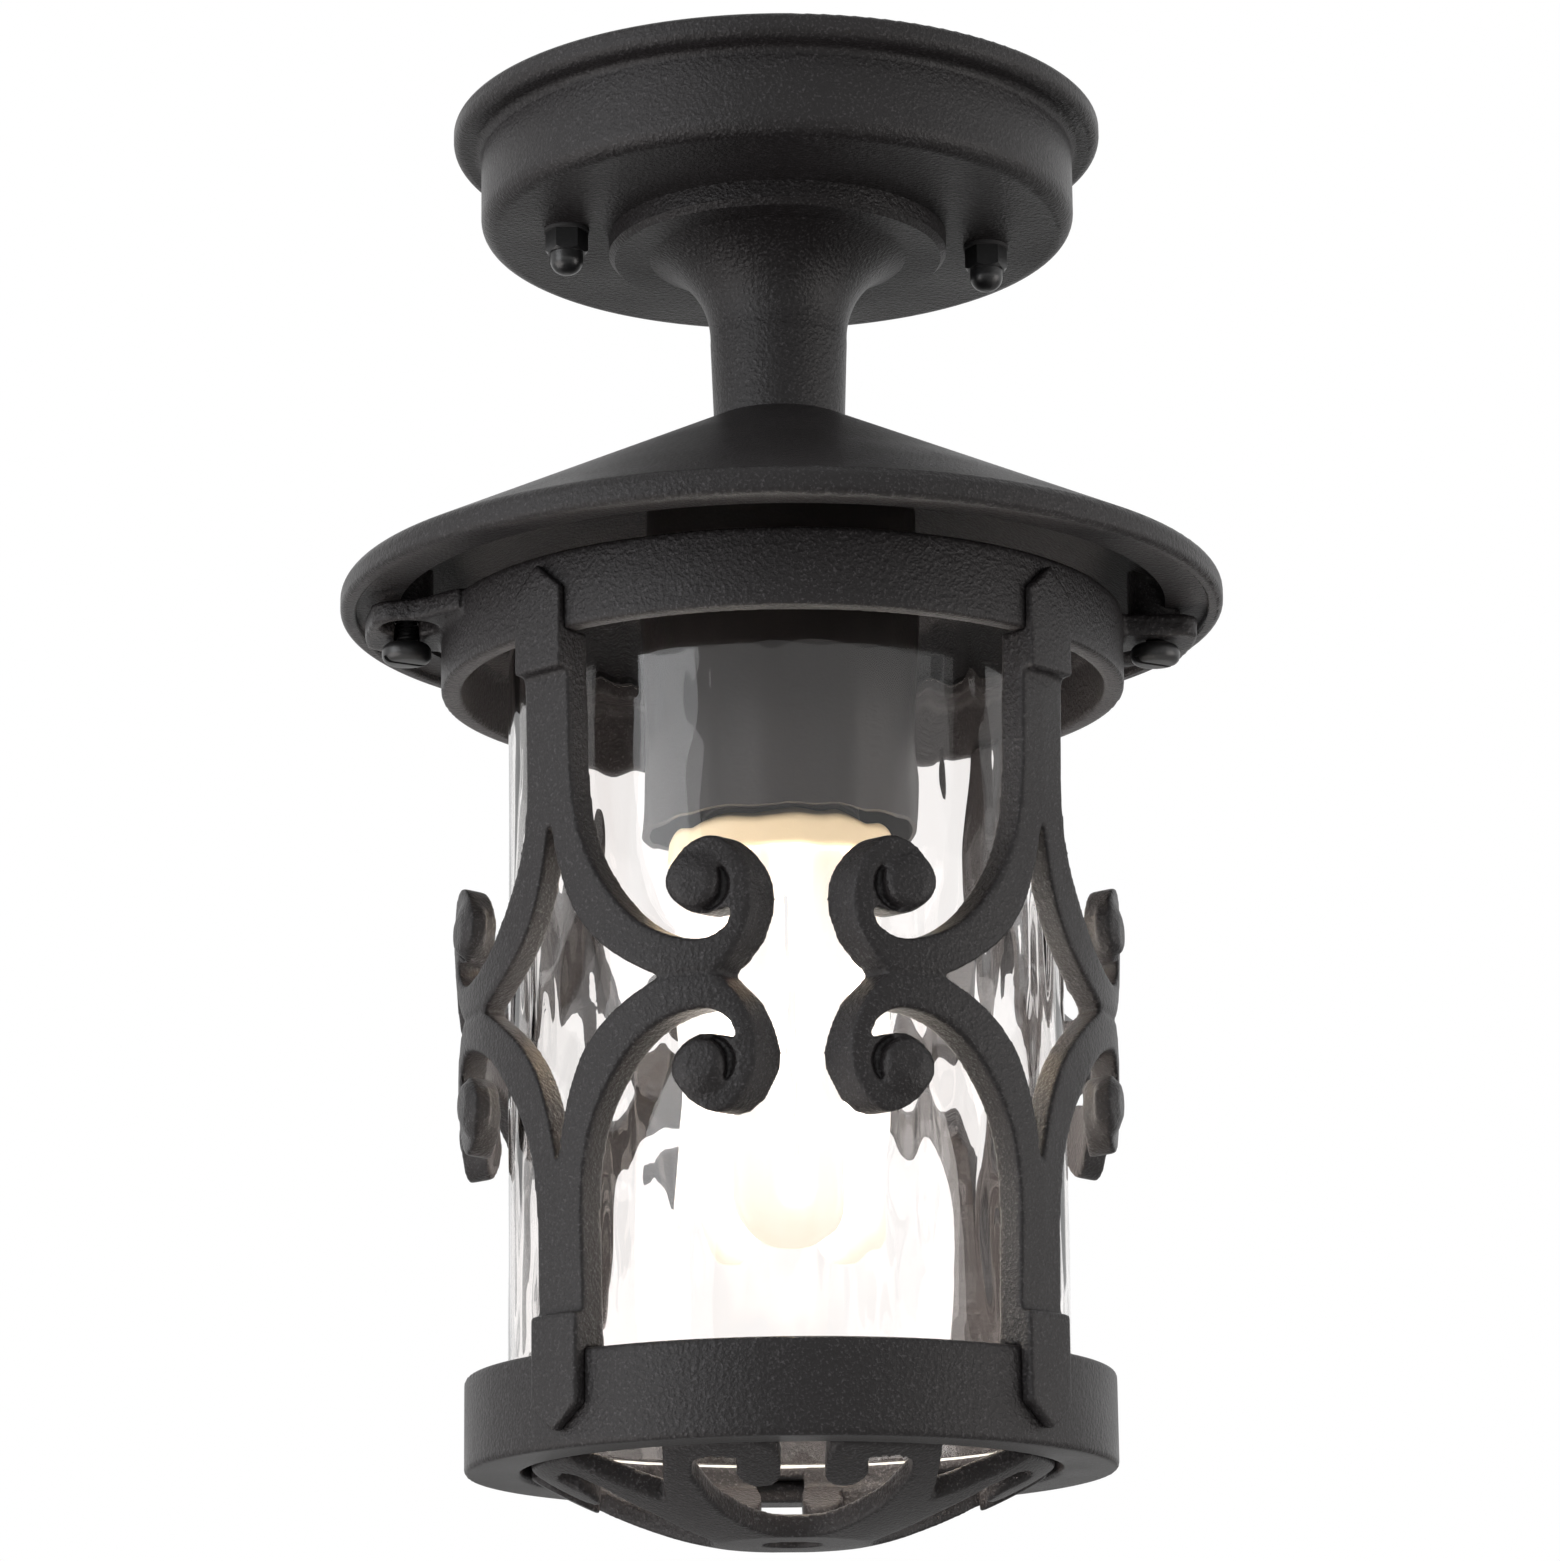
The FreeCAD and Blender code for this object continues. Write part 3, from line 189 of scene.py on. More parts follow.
# %% A copy to work on
def merged_copy(node, name):
    """Copy of a solid with its loose triangles joined at their corners."""
    piece = bpy.data.objects.new(name, nodes[node].data.copy())
    piece.data.materials.clear()
    bpy.context.collection.objects.link(piece)
    pick(piece)
    bpy.ops.object.mode_set(mode="EDIT")
    bpy.ops.mesh.select_all(action="SELECT")
    bpy.ops.mesh.remove_doubles(threshold=0.00001)
    bpy.ops.object.mode_set(mode="OBJECT")
    return piece


def weld(piece, others):
    """Join other objects into the piece."""
    pick(piece)
    for other in others:
        other.select_set(True)
    bpy.ops.object.join()


# %% Soft cast skin
def cast_skin(piece, grain, passes):
    """Wrap the piece in one even skin, then smooth it until its edges are as soft as cast ones."""
    skin = piece.modifiers.new("skin", "REMESH")
    skin.mode = "VOXEL"
    skin.voxel_size = grain
    skin.use_smooth_shade = True
    soft = piece.modifiers.new("soft", "SMOOTH")
    soft.factor = 0.5
    soft.iterations = passes
    settle(piece)
    print(piece.name, "faces:", len(piece.data.polygons))


# %% [markdown]
# ## The four scrolled pillars
#
# On the real lantern each pillar is one casting: a bar that splits into four scrolls, each ending
# in a round eye. A cast piece has no knife edge, so all edges are soft and the eye grows out of
# its band. The solid has the right outline but crisp edges. Bevelling its hundreds of small faces
# would be fragile. Instead, domed discs thicken the eyes, and the whole pillar gets one new skin,
# which rounds every edge alike. It is made once and copied.

# %% Where the cage's front lies
SCROLL_MIDDLE = -0.2139     # height where the scrolls meet
FRONT_TOP, FRONT_FOOT = 0.0767, 0.0718     # radius of the cage's front at its two ends
WINDOW_TOP, WINDOW = -0.1355, 0.1548       # top and height of the stretch between the rings


def front_radius(height):
    """The cage tapers a little towards its foot."""
    return FRONT_TOP + (FRONT_FOOT - FRONT_TOP) * (WINDOW_TOP - height) / WINDOW


def stand_on_front(piece, across, up, sink=0.0):
    """Stand a disc, made flat at the origin, on the front's +X side, and sink it into the band."""
    height = SCROLL_MIDDLE + up
    radius = front_radius(height)
    turn = math.asin(across / radius)
    piece.matrix_world = (
        Matrix.Rotation(turn, 4, "Z")
        @ Matrix.Translation((radius - sink, 0, height))
        @ Matrix.Rotation(math.radians(90), 4, "Y"))
    settle(piece)


# %% Eyes for one pillar
EYE_ACROSS, EYE_UP = 0.0340, 0.0199
EYE_RADIUS = 0.0060
DOME_FLATNESS = 0.27
CORE_RADIUS, CORE_DEPTH, CORE_SINK = 0.0057, 0.0034, 0.0016


def eye_discs():
    """A flat dome and a core below it for each of the four scroll ends."""
    discs = []
    for side in (1, -1):
        for way in (1, -1):
            across = side * EYE_ACROSS
            up = way * EYE_UP
            bpy.ops.mesh.primitive_uv_sphere_add(segments=40, ring_count=20, radius=EYE_RADIUS)
            dome = bpy.context.object
            dome.scale = (1, 1, DOME_FLATNESS)
            bpy.ops.object.transform_apply(scale=True)
            stand_on_front(dome, across, up)
            bpy.ops.mesh.primitive_cylinder_add(vertices=40, radius=CORE_RADIUS, depth=CORE_DEPTH)
            core = bpy.context.object
            stand_on_front(core, across, up, CORE_SINK)
            discs += [dome, core]
    print("discs for the eyes:", len(discs))
    return discs


# %% [markdown]
# ### Rounder scrolls
#
# In the photo the scrolls look rounder than the straight bars. A second smoothing over the whole
# pillar would wear the bars' seams away, so a vertex group keeps it to the scrolls and lets it
# fade out above and below them.

# %% Rounder scrolls
SCROLL_REACH, SCROLL_FADE = 0.050, 0.014     # metres from the scrolls' middle


def round_scrolls(piece, passes):
    """Smooth the scrolls, and leave the bars above and below them as they are."""
    scrolls = piece.vertex_groups.new(name="scrolls")
    for vertex in piece.data.vertices:
        away = abs(vertex.co.z - SCROLL_MIDDLE)
        weight = min(1, max(0, (SCROLL_REACH - away) / SCROLL_FADE))
        scrolls.add([vertex.index], weight, "REPLACE")
    rub = piece.modifiers.new("rub", "SMOOTH")
    rub.factor = 0.5
    rub.iterations = passes
    rub.vertex_group = "scrolls"
    settle(piece)
    piece.vertex_groups.clear()


# %% The first pillar
def stands_at(node):
    """Degrees round the upright axis at which a solid stands."""
    low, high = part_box(node)
    return math.degrees(math.atan2((low[1] + high[1]) / 2, (low[0] + high[0]) / 2))


first_stands = stands_at("pillar_rear_left")
print("the first pillar stands at", round(first_stands, 1), "degrees")
first = merged_copy("pillar_rear_left", "cast_pillar_rear_left")
discs = eye_discs()
for disc in discs:
    disc.matrix_world = Matrix.Rotation(math.radians(first_stands), 4, "Z") @ disc.matrix_world
    settle(disc)
weld(first, discs)
cast_skin(first, grain=0.00052, passes=8)
round_scrolls(first, passes=9)

# %% Its three copies
pillars = {"pillar_rear_left": first}
for node in ("pillar_front_left", "pillar_front_right", "pillar_rear_right"):
    twin = bpy.data.objects.new("cast_" + node, first.data.copy())
    bpy.context.collection.objects.link(twin)
    pick(twin)
    # This operator turns the other way round, so the angle is taken backwards.
    bpy.ops.transform.rotate(value=math.radians(first_stands - stands_at(node)),
                             orient_axis="Z", center_override=(0, 0, 0))
    settle(twin)
    pillars[node] = twin
for node, piece in pillars.items():
    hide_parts(node)
    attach(piece, "cage")
print("pillars:", list(pillars))

# %% [markdown]
# ## Rings and grille
#
# The two rings and the dished grille are cast like the pillars, so they get the same soft skin
# instead of bevels. The grille's blades are thin, so its skin is the finest of the three.

# %% Rings and grille
cast_parts = []
for node, grain, passes in (("upper_ring", 0.0007, 3), ("lower_ring", 0.0007, 3),
                            ("bottom_grille", 0.0006, 4)):
    piece = merged_copy(node, "cast_" + node)
    cast_skin(piece, grain, passes)
    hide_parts(node)
    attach(piece, "cage")
    cast_parts.append(piece)

# %% [markdown]
# ## The rippled glass
#
# The real cylinder shows soft upright flutes and slow drops, as blown glass does. Both bend the
# view of the lamp and of the far pillars. A bumpy material on a plain tube would be quicker, but
# a wall of even thickness hardly bends anything. So a circle with every second point pulled in
# gives the flutes, a plain one inside it gives the smooth inner wall, and bridged and extruded
# they make a wall whose thickness changes, which acts as a lens.

# %% Two lines for the glass
FLUTES = 36
GLASS_OUT, GLASS_IN = 0.06335, 0.0610
GLASS_FOOT = -0.3021
VALLEY = 0.978      # radius of the valleys between the flutes, as a share of GLASS_OUT

bpy.ops.object.select_all(action="DESELECT")
bpy.ops.mesh.primitive_circle_add(vertices=2 * FLUTES, radius=GLASS_IN,
                                  location=(0, 0, GLASS_FOOT))
inner_line = bpy.context.object
bpy.ops.mesh.primitive_circle_add(vertices=2 * FLUTES, radius=GLASS_OUT,
                                  location=(0, 0, GLASS_FOOT))
glass = bpy.context.object
glass.name = "rippled_glass"
for number, vertex in enumerate(glass.data.vertices):
    vertex.select = number % 2 == 0
bpy.ops.object.mode_set(mode="EDIT")
bpy.ops.transform.resize(value=(VALLEY, VALLEY, 1), center_override=(0, 0, GLASS_FOOT))
bpy.ops.object.mode_set(mode="OBJECT")
weld(glass, [inner_line])
settle(glass)
print("points on the two lines:", len(glass.data.vertices))

# %% Fluted tube
GLASS_TOP = -0.1195
COURSES = 26
RIM_COURSES = [0.0005, 0.0011]      # low courses keep the rims crisp when the wall is made finer

bpy.ops.object.mode_set(mode="EDIT")
bpy.ops.mesh.select_all(action="SELECT")
bpy.ops.mesh.bridge_edge_loops()
bpy.ops.mesh.select_all(action="SELECT")
middle_course = (GLASS_TOP - GLASS_FOOT - 2 * sum(RIM_COURSES)) / COURSES
for lift in RIM_COURSES + [middle_course] * COURSES + RIM_COURSES[::-1]:
    bpy.ops.mesh.extrude_region_move(TRANSFORM_OT_translate={"value": (0, 0, lift)})
bpy.ops.mesh.select_all(action="SELECT")
bpy.ops.mesh.normals_make_consistent(inside=False)
bpy.ops.object.mode_set(mode="OBJECT")
print("glass courses:", COURSES, "flutes:", FLUTES)

# %% [markdown]
# ### Drops in the wall
#
# The drops could be sculpted one by one, but they lie at random. Here a cloudy pattern that is
# stretched upright pushes the wall in and out: once for the drops and once, finer, for a shiver.

# %% Drops in the wall
GUIDE_PLACE = (0.02, 0.01, 0)

finer = glass.modifiers.new("finer", "SUBSURF")
finer.levels = 2
finer.render_levels = 2
settle(glass)


def ripple(piece, name, size, stretch, depth):
    """Push the surface in and out with a cloudy pattern that is stretched upright."""
    cloud = bpy.data.textures.new(name, "CLOUDS")
    cloud.noise_scale = size
    cloud.noise_depth = 1
    bpy.ops.object.empty_add(location=GUIDE_PLACE)
    guide = bpy.context.object
    guide.scale = (1, 1, stretch)
    bpy.context.view_layer.update()
    push = piece.modifiers.new(name, "DISPLACE")
    push.texture = cloud
    push.texture_coords = "OBJECT"
    push.texture_coords_object = guide
    push.strength = depth
    push.mid_level = 0.5
    settle(piece)
    bpy.data.objects.remove(guide)
    bpy.data.textures.remove(cloud)


ripple(glass, "drops", size=0.010, stretch=4.0, depth=0.0007)
ripple(glass, "shiver", size=0.005, stretch=5.0, depth=0.0002)
pick(glass)
bpy.ops.object.shade_smooth_by_angle(angle=math.radians(50))
print("glass faces:", len(glass.data.polygons))
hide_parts("glass_cylinder")
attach(glass, "cage")

# %% [markdown]
# ## The two retaining screws
#
# Each hangs under the roof with a domed, slotted head, and the cage's keyholes slide over it.
# A short cylinder gives the head, and its rims are bevelled round. The slot could be extruded
# inwards, but the end face has no edges in the slot's shape, so a bar is cut out with a boolean.

# %% Screw heads
HEAD_RADIUS, HEAD_DEPTH = 0.0056, 0.0046
HEAD_ROUNDING = 0.0019
SLOT_BAR = (0.02, 0.0013, 0.0026)       # length, width and height of the bar that cuts the slot
SLOT_TURN = 28      # degrees


def round_head(x, top, name):
    """Domed head with its slot across it, hanging down from its top face."""
    bpy.ops.mesh.primitive_cylinder_add(vertices=64, radius=HEAD_RADIUS, depth=HEAD_DEPTH,
                                        location=(x, 0, top - HEAD_DEPTH / 2))
    head = bpy.context.object
    head.name = name
    bpy.ops.object.transform_apply(location=True)
    dome = head.modifiers.new("dome", "BEVEL")
    dome.width = HEAD_ROUNDING
    dome.segments = 6
    dome.limit_method = "ANGLE"
    dome.angle_limit = math.radians(40)
    settle(head)
    bpy.ops.mesh.primitive_cube_add(size=1, location=(x, 0, top - HEAD_DEPTH))
    cutter = bpy.context.object
    cutter.scale = SLOT_BAR
    cutter.rotation_euler = (0, 0, math.radians(SLOT_TURN))
    settle(cutter)
    cut = head.modifiers.new("slot", "BOOLEAN")
    cut.operation = "DIFFERENCE"
    cut.object = cutter
    cut.solver = "EXACT"
    settle(head)
    bpy.data.objects.remove(cutter)
    pick(head)
    bpy.ops.object.shade_smooth_by_angle(angle=math.radians(35))
    return head


# %% [markdown]
# ### Threads
#
# A thread is one tooth that climbs as it goes round. Rings in a stack would only look like one
# from afar, so a Screw modifier winds the tooth's outline round a plain core, which closes the
# shank inside the thread.

# %% Threaded shanks
SHANK_RADIUS = 0.0025
THREAD_PITCH = 0.0008
THREAD_ROOT, CORE_SHARE = 0.84, 0.86        # shares of the shank's radius
TURN_STEPS = 28


def wound_thread(bottom, turns, name):
    """One tooth's outline, lifted as it turns."""
    root = SHANK_RADIUS * THREAD_ROOT
    tooth = [(root, 0), (root, THREAD_PITCH * 0.25), (SHANK_RADIUS, THREAD_PITCH * 0.6),
             (SHANK_RADIUS, THREAD_PITCH * 0.7)]
    mesh = bpy.data.meshes.new(name)
    mesh.from_pydata([(r, 0, bottom + z) for r, z in tooth], [(0, 1), (1, 2), (2, 3)], [])
    thread = bpy.data.objects.new(name, mesh)
    bpy.context.collection.objects.link(thread)
    wind = thread.modifiers.new("wind", "SCREW")
    wind.axis = "Z"
    wind.screw_offset = THREAD_PITCH
    wind.iterations = turns
    wind.steps = TURN_STEPS
    wind.render_steps = TURN_STEPS
    wind.use_merge_vertices = True
    wind.merge_threshold = 0.000001
    settle(thread)
    return thread


def threaded_shank(x, bottom, top, name):
    """Plain core with a bevelled end and the thread round it."""
    thread = wound_thread(bottom, int((top - bottom) / THREAD_PITCH) - 1, name)
    bpy.ops.mesh.primitive_cylinder_add(vertices=32, radius=SHANK_RADIUS * CORE_SHARE,
                                        depth=top - bottom,
                                        location=(0, 0, (top + bottom) / 2))
    core = bpy.context.object
    tip = core.modifiers.new("tip", "BEVEL")
    tip.width = SHANK_RADIUS * 0.25
    tip.segments = 2
    settle(core)
    weld(core, [thread])
    core.name = name
    pick(core)
    bpy.ops.transform.translate(value=(x, 0, 0))
    settle(core)
    bpy.ops.object.shade_smooth_by_angle(angle=math.radians(35))
    return core


# %% Both screws
HEAD_TOP = 0.0045       # height of the head's seat above the solid's lowest point
SHANK_IN_HEAD = 0.0004

screws = []
for node in ("retaining_screw_left", "retaining_screw_right"):
    low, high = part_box(node)
    middle = (low[0] + high[0]) / 2
    head_top = low[2] + HEAD_TOP
    head = round_head(middle, head_top, "head_" + node)
    shank = threaded_shank(middle, head_top - SHANK_IN_HEAD, high[2], "slotted_" + node)
    weld(shank, [head])
    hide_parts(node)
    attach(shank, node)
    screws.append(shank)
    print(shank.name, "at x =", round(middle, 4))


# %% [markdown]
# ## Finishes
#
# The finishes could be painted on pictures, but every piece would then need to be unwrapped. They
# are grown from patterns on the object's own coordinates, so nothing slides when a piece moves.
# Effects that several finishes share are node groups: each is built once, and each finish gives
# it its own numbers. The Principled shader stays outside.


# %% Helpers for node trees
def add(tree, kind, **values):
    """New node with its input values set by name; an underscore stands for a space."""
    node = tree.nodes.new("ShaderNode" + kind)
    for name, value in values.items():
        node.inputs[name.replace("_", " ")].default_value = value
    return node


def blend_colours(tree, factor, first_colour, second_colour):
    """Mix of two colours by a mask; each colour may be a socket or a plain one."""
    node = tree.nodes.new("ShaderNodeMix")
    node.data_type = "RGBA"
    for slot, value in ((0, factor), (6, first_colour), (7, second_colour)):
        if isinstance(value, bpy.types.NodeSocket):
            tree.links.new(value, node.inputs[slot])
        else:
            node.inputs[slot].default_value = (*value, 1)
    return node.outputs[2]


# %% Helpers for values
def remap(tree, value, low, high, to_low=0.0, to_high=1.0):
    """Stretch part of a value's range over a new one."""
    node = add(tree, "MapRange", From_Min=low, From_Max=high, To_Min=to_low, To_Max=to_high)
    tree.links.new(value, node.inputs["Value"])
    return node.outputs["Result"]


def figure(tree, operation, first_value, second_value):
    """One sum on values; each may be a socket or a number."""
    node = tree.nodes.new("ShaderNodeMath")
    node.operation = operation
    for slot, value in enumerate((first_value, second_value)):
        if isinstance(value, bpy.types.NodeSocket):
            tree.links.new(value, node.inputs[slot])
        else:
            node.inputs[slot].default_value = value
    return node.outputs[0]


# %% Helpers for groups and patterns
def new_group(name, inputs, outputs):
    """Empty node group with named inputs and outputs."""
    group = bpy.data.node_groups.new(name, "ShaderNodeTree")
    for label, kind, value in inputs:
        socket = group.interface.new_socket(label, in_out="INPUT",
                                            socket_type="NodeSocket" + kind)
        socket.default_value = (*value, 1) if kind == "Color" else value
    for label, kind in outputs:
        group.interface.new_socket(label, in_out="OUTPUT", socket_type="NodeSocket" + kind)
    return group, group.nodes.new("NodeGroupInput"), group.nodes.new("NodeGroupOutput")


def object_pattern(tree, kind, scale, stretch=(1, 1, 1), **values):
    """Pattern node that reads the object's own coordinates."""
    where = tree.nodes.new("ShaderNodeTexCoord")
    fit = add(tree, "Mapping", Scale=stretch)
    tree.links.new(where.outputs["Object"], fit.inputs["Vector"])
    pattern = add(tree, kind, **values)
    tree.links.new(fit.outputs["Vector"], pattern.inputs["Vector"])
    if isinstance(scale, bpy.types.NodeSocket):
        tree.links.new(scale, pattern.inputs["Scale"])
    else:
        pattern.inputs["Scale"].default_value = scale
    return pattern


# %% [markdown]
# ### Powder coat grain and painted glints
#
# Powder melts into a skin of tiny rounded pimples, like orange peel, with a pale fleck here and
# there; the flecks are partly the coat's mottling and partly painted glints of light. Modelling
# the pimples would take millions of faces. Fine noise gives the flecks, noise and a cell pattern
# give the height of the pimples, and a slow cloud varies the coat's shade.

# %% Group: coat grain and painted glints
coat_grain_and_glints_group, takes, gives = new_group(
    "coat_grain_and_glints",
    [("Colour", "Color", (0.02, 0.02, 0.02)), ("Fleck", "Color", (0.08, 0.08, 0.08)),
     ("Grain", "Float", 1700.0), ("Roughness", "Float", 0.5), ("Spread", "Float", 0.12)],
    [("Colour", "Color"), ("Roughness", "Float"), ("Height", "Float")])
fine = object_pattern(coat_grain_and_glints_group, "TexNoise", takes.outputs["Grain"], Detail=3.0, Roughness=0.6)
peel_size = figure(coat_grain_and_glints_group, "MULTIPLY", takes.outputs["Grain"], 0.55)
peel = object_pattern(coat_grain_and_glints_group, "TexVoronoi", peel_size)
slow = object_pattern(coat_grain_and_glints_group, "TexNoise", 26.0, Detail=2.0)
# pale flecks: partly the coat's own mottling, partly painted glints of light
fleck_and_glint_mask = remap(coat_grain_and_glints_group, fine.outputs["Fac"], 0.55, 0.75)
flecked_and_glinting = blend_colours(coat_grain_and_glints_group, fleck_and_glint_mask, takes.outputs["Colour"], takes.outputs["Fleck"])
shade = remap(coat_grain_and_glints_group, slow.outputs["Fac"], 0.3, 0.7, 0.88, 1.12)
shaded = add(coat_grain_and_glints_group, "VectorMath")
shaded.operation = "SCALE"
coat_grain_and_glints_group.links.new(flecked_and_glinting, shaded.inputs[0])
coat_grain_and_glints_group.links.new(shade, shaded.inputs["Scale"])
coat_grain_and_glints_group.links.new(shaded.outputs[0], gives.inputs["Colour"])
half_spread = figure(coat_grain_and_glints_group, "MULTIPLY", takes.outputs["Spread"],
                     remap(coat_grain_and_glints_group, slow.outputs["Fac"], 0.3, 0.7, -0.5, 0.5))
coat_grain_and_glints_group.links.new(figure(coat_grain_and_glints_group, "ADD", takes.outputs["Roughness"], half_spread),
                     gives.inputs["Roughness"])
pimples = figure(coat_grain_and_glints_group, "MULTIPLY", peel.outputs["Distance"], 0.55)
coat_grain_and_glints_group.links.new(figure(coat_grain_and_glints_group, "ADD", fine.outputs["Fac"], pimples),
                     gives.inputs["Height"])

# %% [markdown]
# ### Settled dust
#
# Faces that look up catch a breath of dust, which is paler than the coat. A painted mask would fit
# only one piece. This one takes the upward part of a face's direction and breaks it with noise,
# so it fits all of them and fades in patches.

# %% Group: settled dust
dust_group, takes, gives = new_group(
    "settled_dust", [("Amount", "Float", 0.3)], [("Mask", "Float")])
facing = dust_group.nodes.new("ShaderNodeNewGeometry")
axes = dust_group.nodes.new("ShaderNodeSeparateXYZ")
dust_group.links.new(facing.outputs["Normal"], axes.inputs[0])
upward = remap(dust_group, axes.outputs["Z"], 0.55, 1.0)
patches = object_pattern(dust_group, "TexNoise", 90.0, Detail=4.0)
broken = figure(dust_group, "MULTIPLY", upward,
                remap(dust_group, patches.outputs["Fac"], 0.35, 0.7))
dust_group.links.new(figure(dust_group, "MULTIPLY", broken, takes.outputs["Amount"]),
                     gives.inputs["Mask"])

# %% [markdown]
# ### Drawn metal and moulded plastic
#
# Steel and brass parts carry fine lines from turning and rolling, a cloudy bloom and a faint
# patchwork of crystals. Plastics and rubber have the even grain of an etched mould, with faint
# shade changes where they flowed. Noise that is stretched one way gives both the lines and the
# flow, and one group for each family keeps its finishes alike.

# %% Group: drawn metal
metal_group, takes, gives = new_group(
    "drawn_metal",
    [("Colour", "Color", (0.6, 0.6, 0.6)), ("Bloom", "Color", (0.4, 0.4, 0.4)),
     ("Roughness", "Float", 0.3)],
    [("Colour", "Color"), ("Roughness", "Float"), ("Height", "Float")])
lines = object_pattern(metal_group, "TexNoise", 420.0, (1, 1, 14), Detail=3.0)
spangle = object_pattern(metal_group, "TexVoronoi", 260.0)
bloom = object_pattern(metal_group, "TexNoise", 75.0, Detail=4.0)
bloom_mask = remap(metal_group, bloom.outputs["Fac"], 0.38, 0.68)
tinted = blend_colours(metal_group, bloom_mask, takes.outputs["Colour"], takes.outputs["Bloom"])
crystal = remap(metal_group, spangle.outputs["Distance"], 0.0, 0.8, 0.06, -0.04)
metal_group.links.new(tinted, gives.inputs["Colour"])
rough_lines = remap(metal_group, lines.outputs["Fac"], 0.3, 0.7, -0.06, 0.1)
uneven = figure(metal_group, "ADD", rough_lines, crystal)
metal_group.links.new(figure(metal_group, "ADD", takes.outputs["Roughness"], uneven),
                      gives.inputs["Roughness"])
metal_group.links.new(lines.outputs["Fac"], gives.inputs["Height"])

# %% Group: moulded skin
mould_group, takes, gives = new_group(
    "moulded_skin",
    [("Colour", "Color", (0.5, 0.5, 0.5)), ("Flow", "Color", (0.4, 0.4, 0.4)),
     ("Grain", "Float", 2600.0), ("Roughness", "Float", 0.5)],
    [("Colour", "Color"), ("Roughness", "Float"), ("Height", "Float")])
spark = object_pattern(mould_group, "TexNoise", takes.outputs["Grain"], Detail=1.0)
flow = object_pattern(mould_group, "TexNoise", 38.0, (1, 1, 0.35), Detail=3.0)
flow_mask = remap(mould_group, flow.outputs["Fac"], 0.35, 0.7)
mould_group.links.new(
    blend_colours(mould_group, flow_mask, takes.outputs["Colour"], takes.outputs["Flow"]),
    gives.inputs["Colour"])
mould_group.links.new(
    figure(mould_group, "ADD", takes.outputs["Roughness"],
           remap(mould_group, flow.outputs["Fac"], 0.3, 0.7, -0.05, 0.05)),
    gives.inputs["Roughness"])
mould_group.links.new(spark.outputs["Fac"], gives.inputs["Height"])
print("groups:", [group.name for group in bpy.data.node_groups])


# %% [markdown]
# ### From groups to materials
#
# A material could hold copies of all these nodes. Placing the group keeps its tree short, and
# only the finish's own numbers and the Principled shader are left to see.


# %% From a group to a material
def new_material(name):
    """Material with an empty tree, its output and a Principled shader."""
    material = bpy.data.materials.new(name)
    material.use_nodes = True
    tree = material.node_tree
    tree.nodes.clear()
    output = tree.nodes.new("ShaderNodeOutputMaterial")
    shader = tree.nodes.new("ShaderNodeBsdfPrincipled")
    tree.links.new(shader.outputs["BSDF"], output.inputs["Surface"])
    return material, tree, shader, output


def place_group(tree, group, **values):
    """The group as a node of this tree, with this finish's own values."""
    node = tree.nodes.new("ShaderNodeGroup")
    node.node_tree = group
    for name, value in values.items():
        if isinstance(value, tuple):
            value = (*value, 1)
        node.inputs[name].default_value = value
    return node


def surface(tree, shader, node, relief):
    """Join a group's roughness and height to the shader; relief is the height in metres."""
    tree.links.new(node.outputs["Roughness"], shader.inputs["Roughness"])
    raised = add(tree, "Bump", Distance=relief, Strength=0.6)
    tree.links.new(node.outputs["Height"], raised.inputs["Height"])
    tree.links.new(raised.outputs["Normal"], shader.inputs["Normal"])


# %% [markdown]
# ### The coated metals
#
# The castings are a warm near-black with the deepest grain. The cap nuts and screws are smoother
# and glossier, and the pressed cup is a browner black with a finer grain. They could be three
# separate materials, but one maker with different numbers shows how they differ.


# %% Coated finishes
DUST_COLOUR = (0.2, 0.185, 0.165)


def coated(name, colour, fleck_and_glint, grain, roughness, relief, dust=0.25, shine=0.35):
    """Powder coat with pale flecks, partly painted glints, and a breath of dust on it."""
    material, tree, shader, _ = new_material(name)
    coat = place_group(tree, coat_grain_and_glints_group, Colour=colour, Fleck=fleck_and_glint, Grain=grain,
                       Roughness=roughness)
    dust_mask = place_group(tree, dust_group, Amount=dust)
    tree.links.new(blend_colours(tree, dust_mask.outputs["Mask"], coat.outputs["Colour"],
                                 DUST_COLOUR), shader.inputs["Base Color"])
    shader.inputs["Specular IOR Level"].default_value = shine
    surface(tree, shader, coat, relief)
    return material


# The second colour of each coat is its pale fleck: partly mottling, partly painted glints of
# light.
casting = coated("black_casting", (0.0125, 0.0110, 0.0114), (0.066, 0.062, 0.065),
                 grain=1650.0, roughness=0.40, relief=0.00040, dust=0.02, shine=0.26)
nut_black = coated("black_nut", (0.010, 0.010, 0.0105), (0.022, 0.022, 0.023),
                   grain=1500.0, roughness=0.34, relief=0.00005, shine=0.5)
sheet_black = coated("black_sheet", (0.008, 0.0062, 0.0058), (0.016, 0.013, 0.012),
                     grain=2000.0, roughness=0.40, relief=0.00006, dust=0.15)
print("coated finishes: casting, nut and sheet")


# %% Bare metals
def bare_metal(name, colour, bloom, roughness, relief=0.00003):
    """Uncoated metal."""
    material, tree, shader, _ = new_material(name)
    metal = place_group(tree, metal_group, Colour=colour, Bloom=bloom, Roughness=roughness)
    tree.links.new(metal.outputs["Colour"], shader.inputs["Base Color"])
    shader.inputs["Metallic"].default_value = 1.0
    surface(tree, shader, metal, relief)
    return material


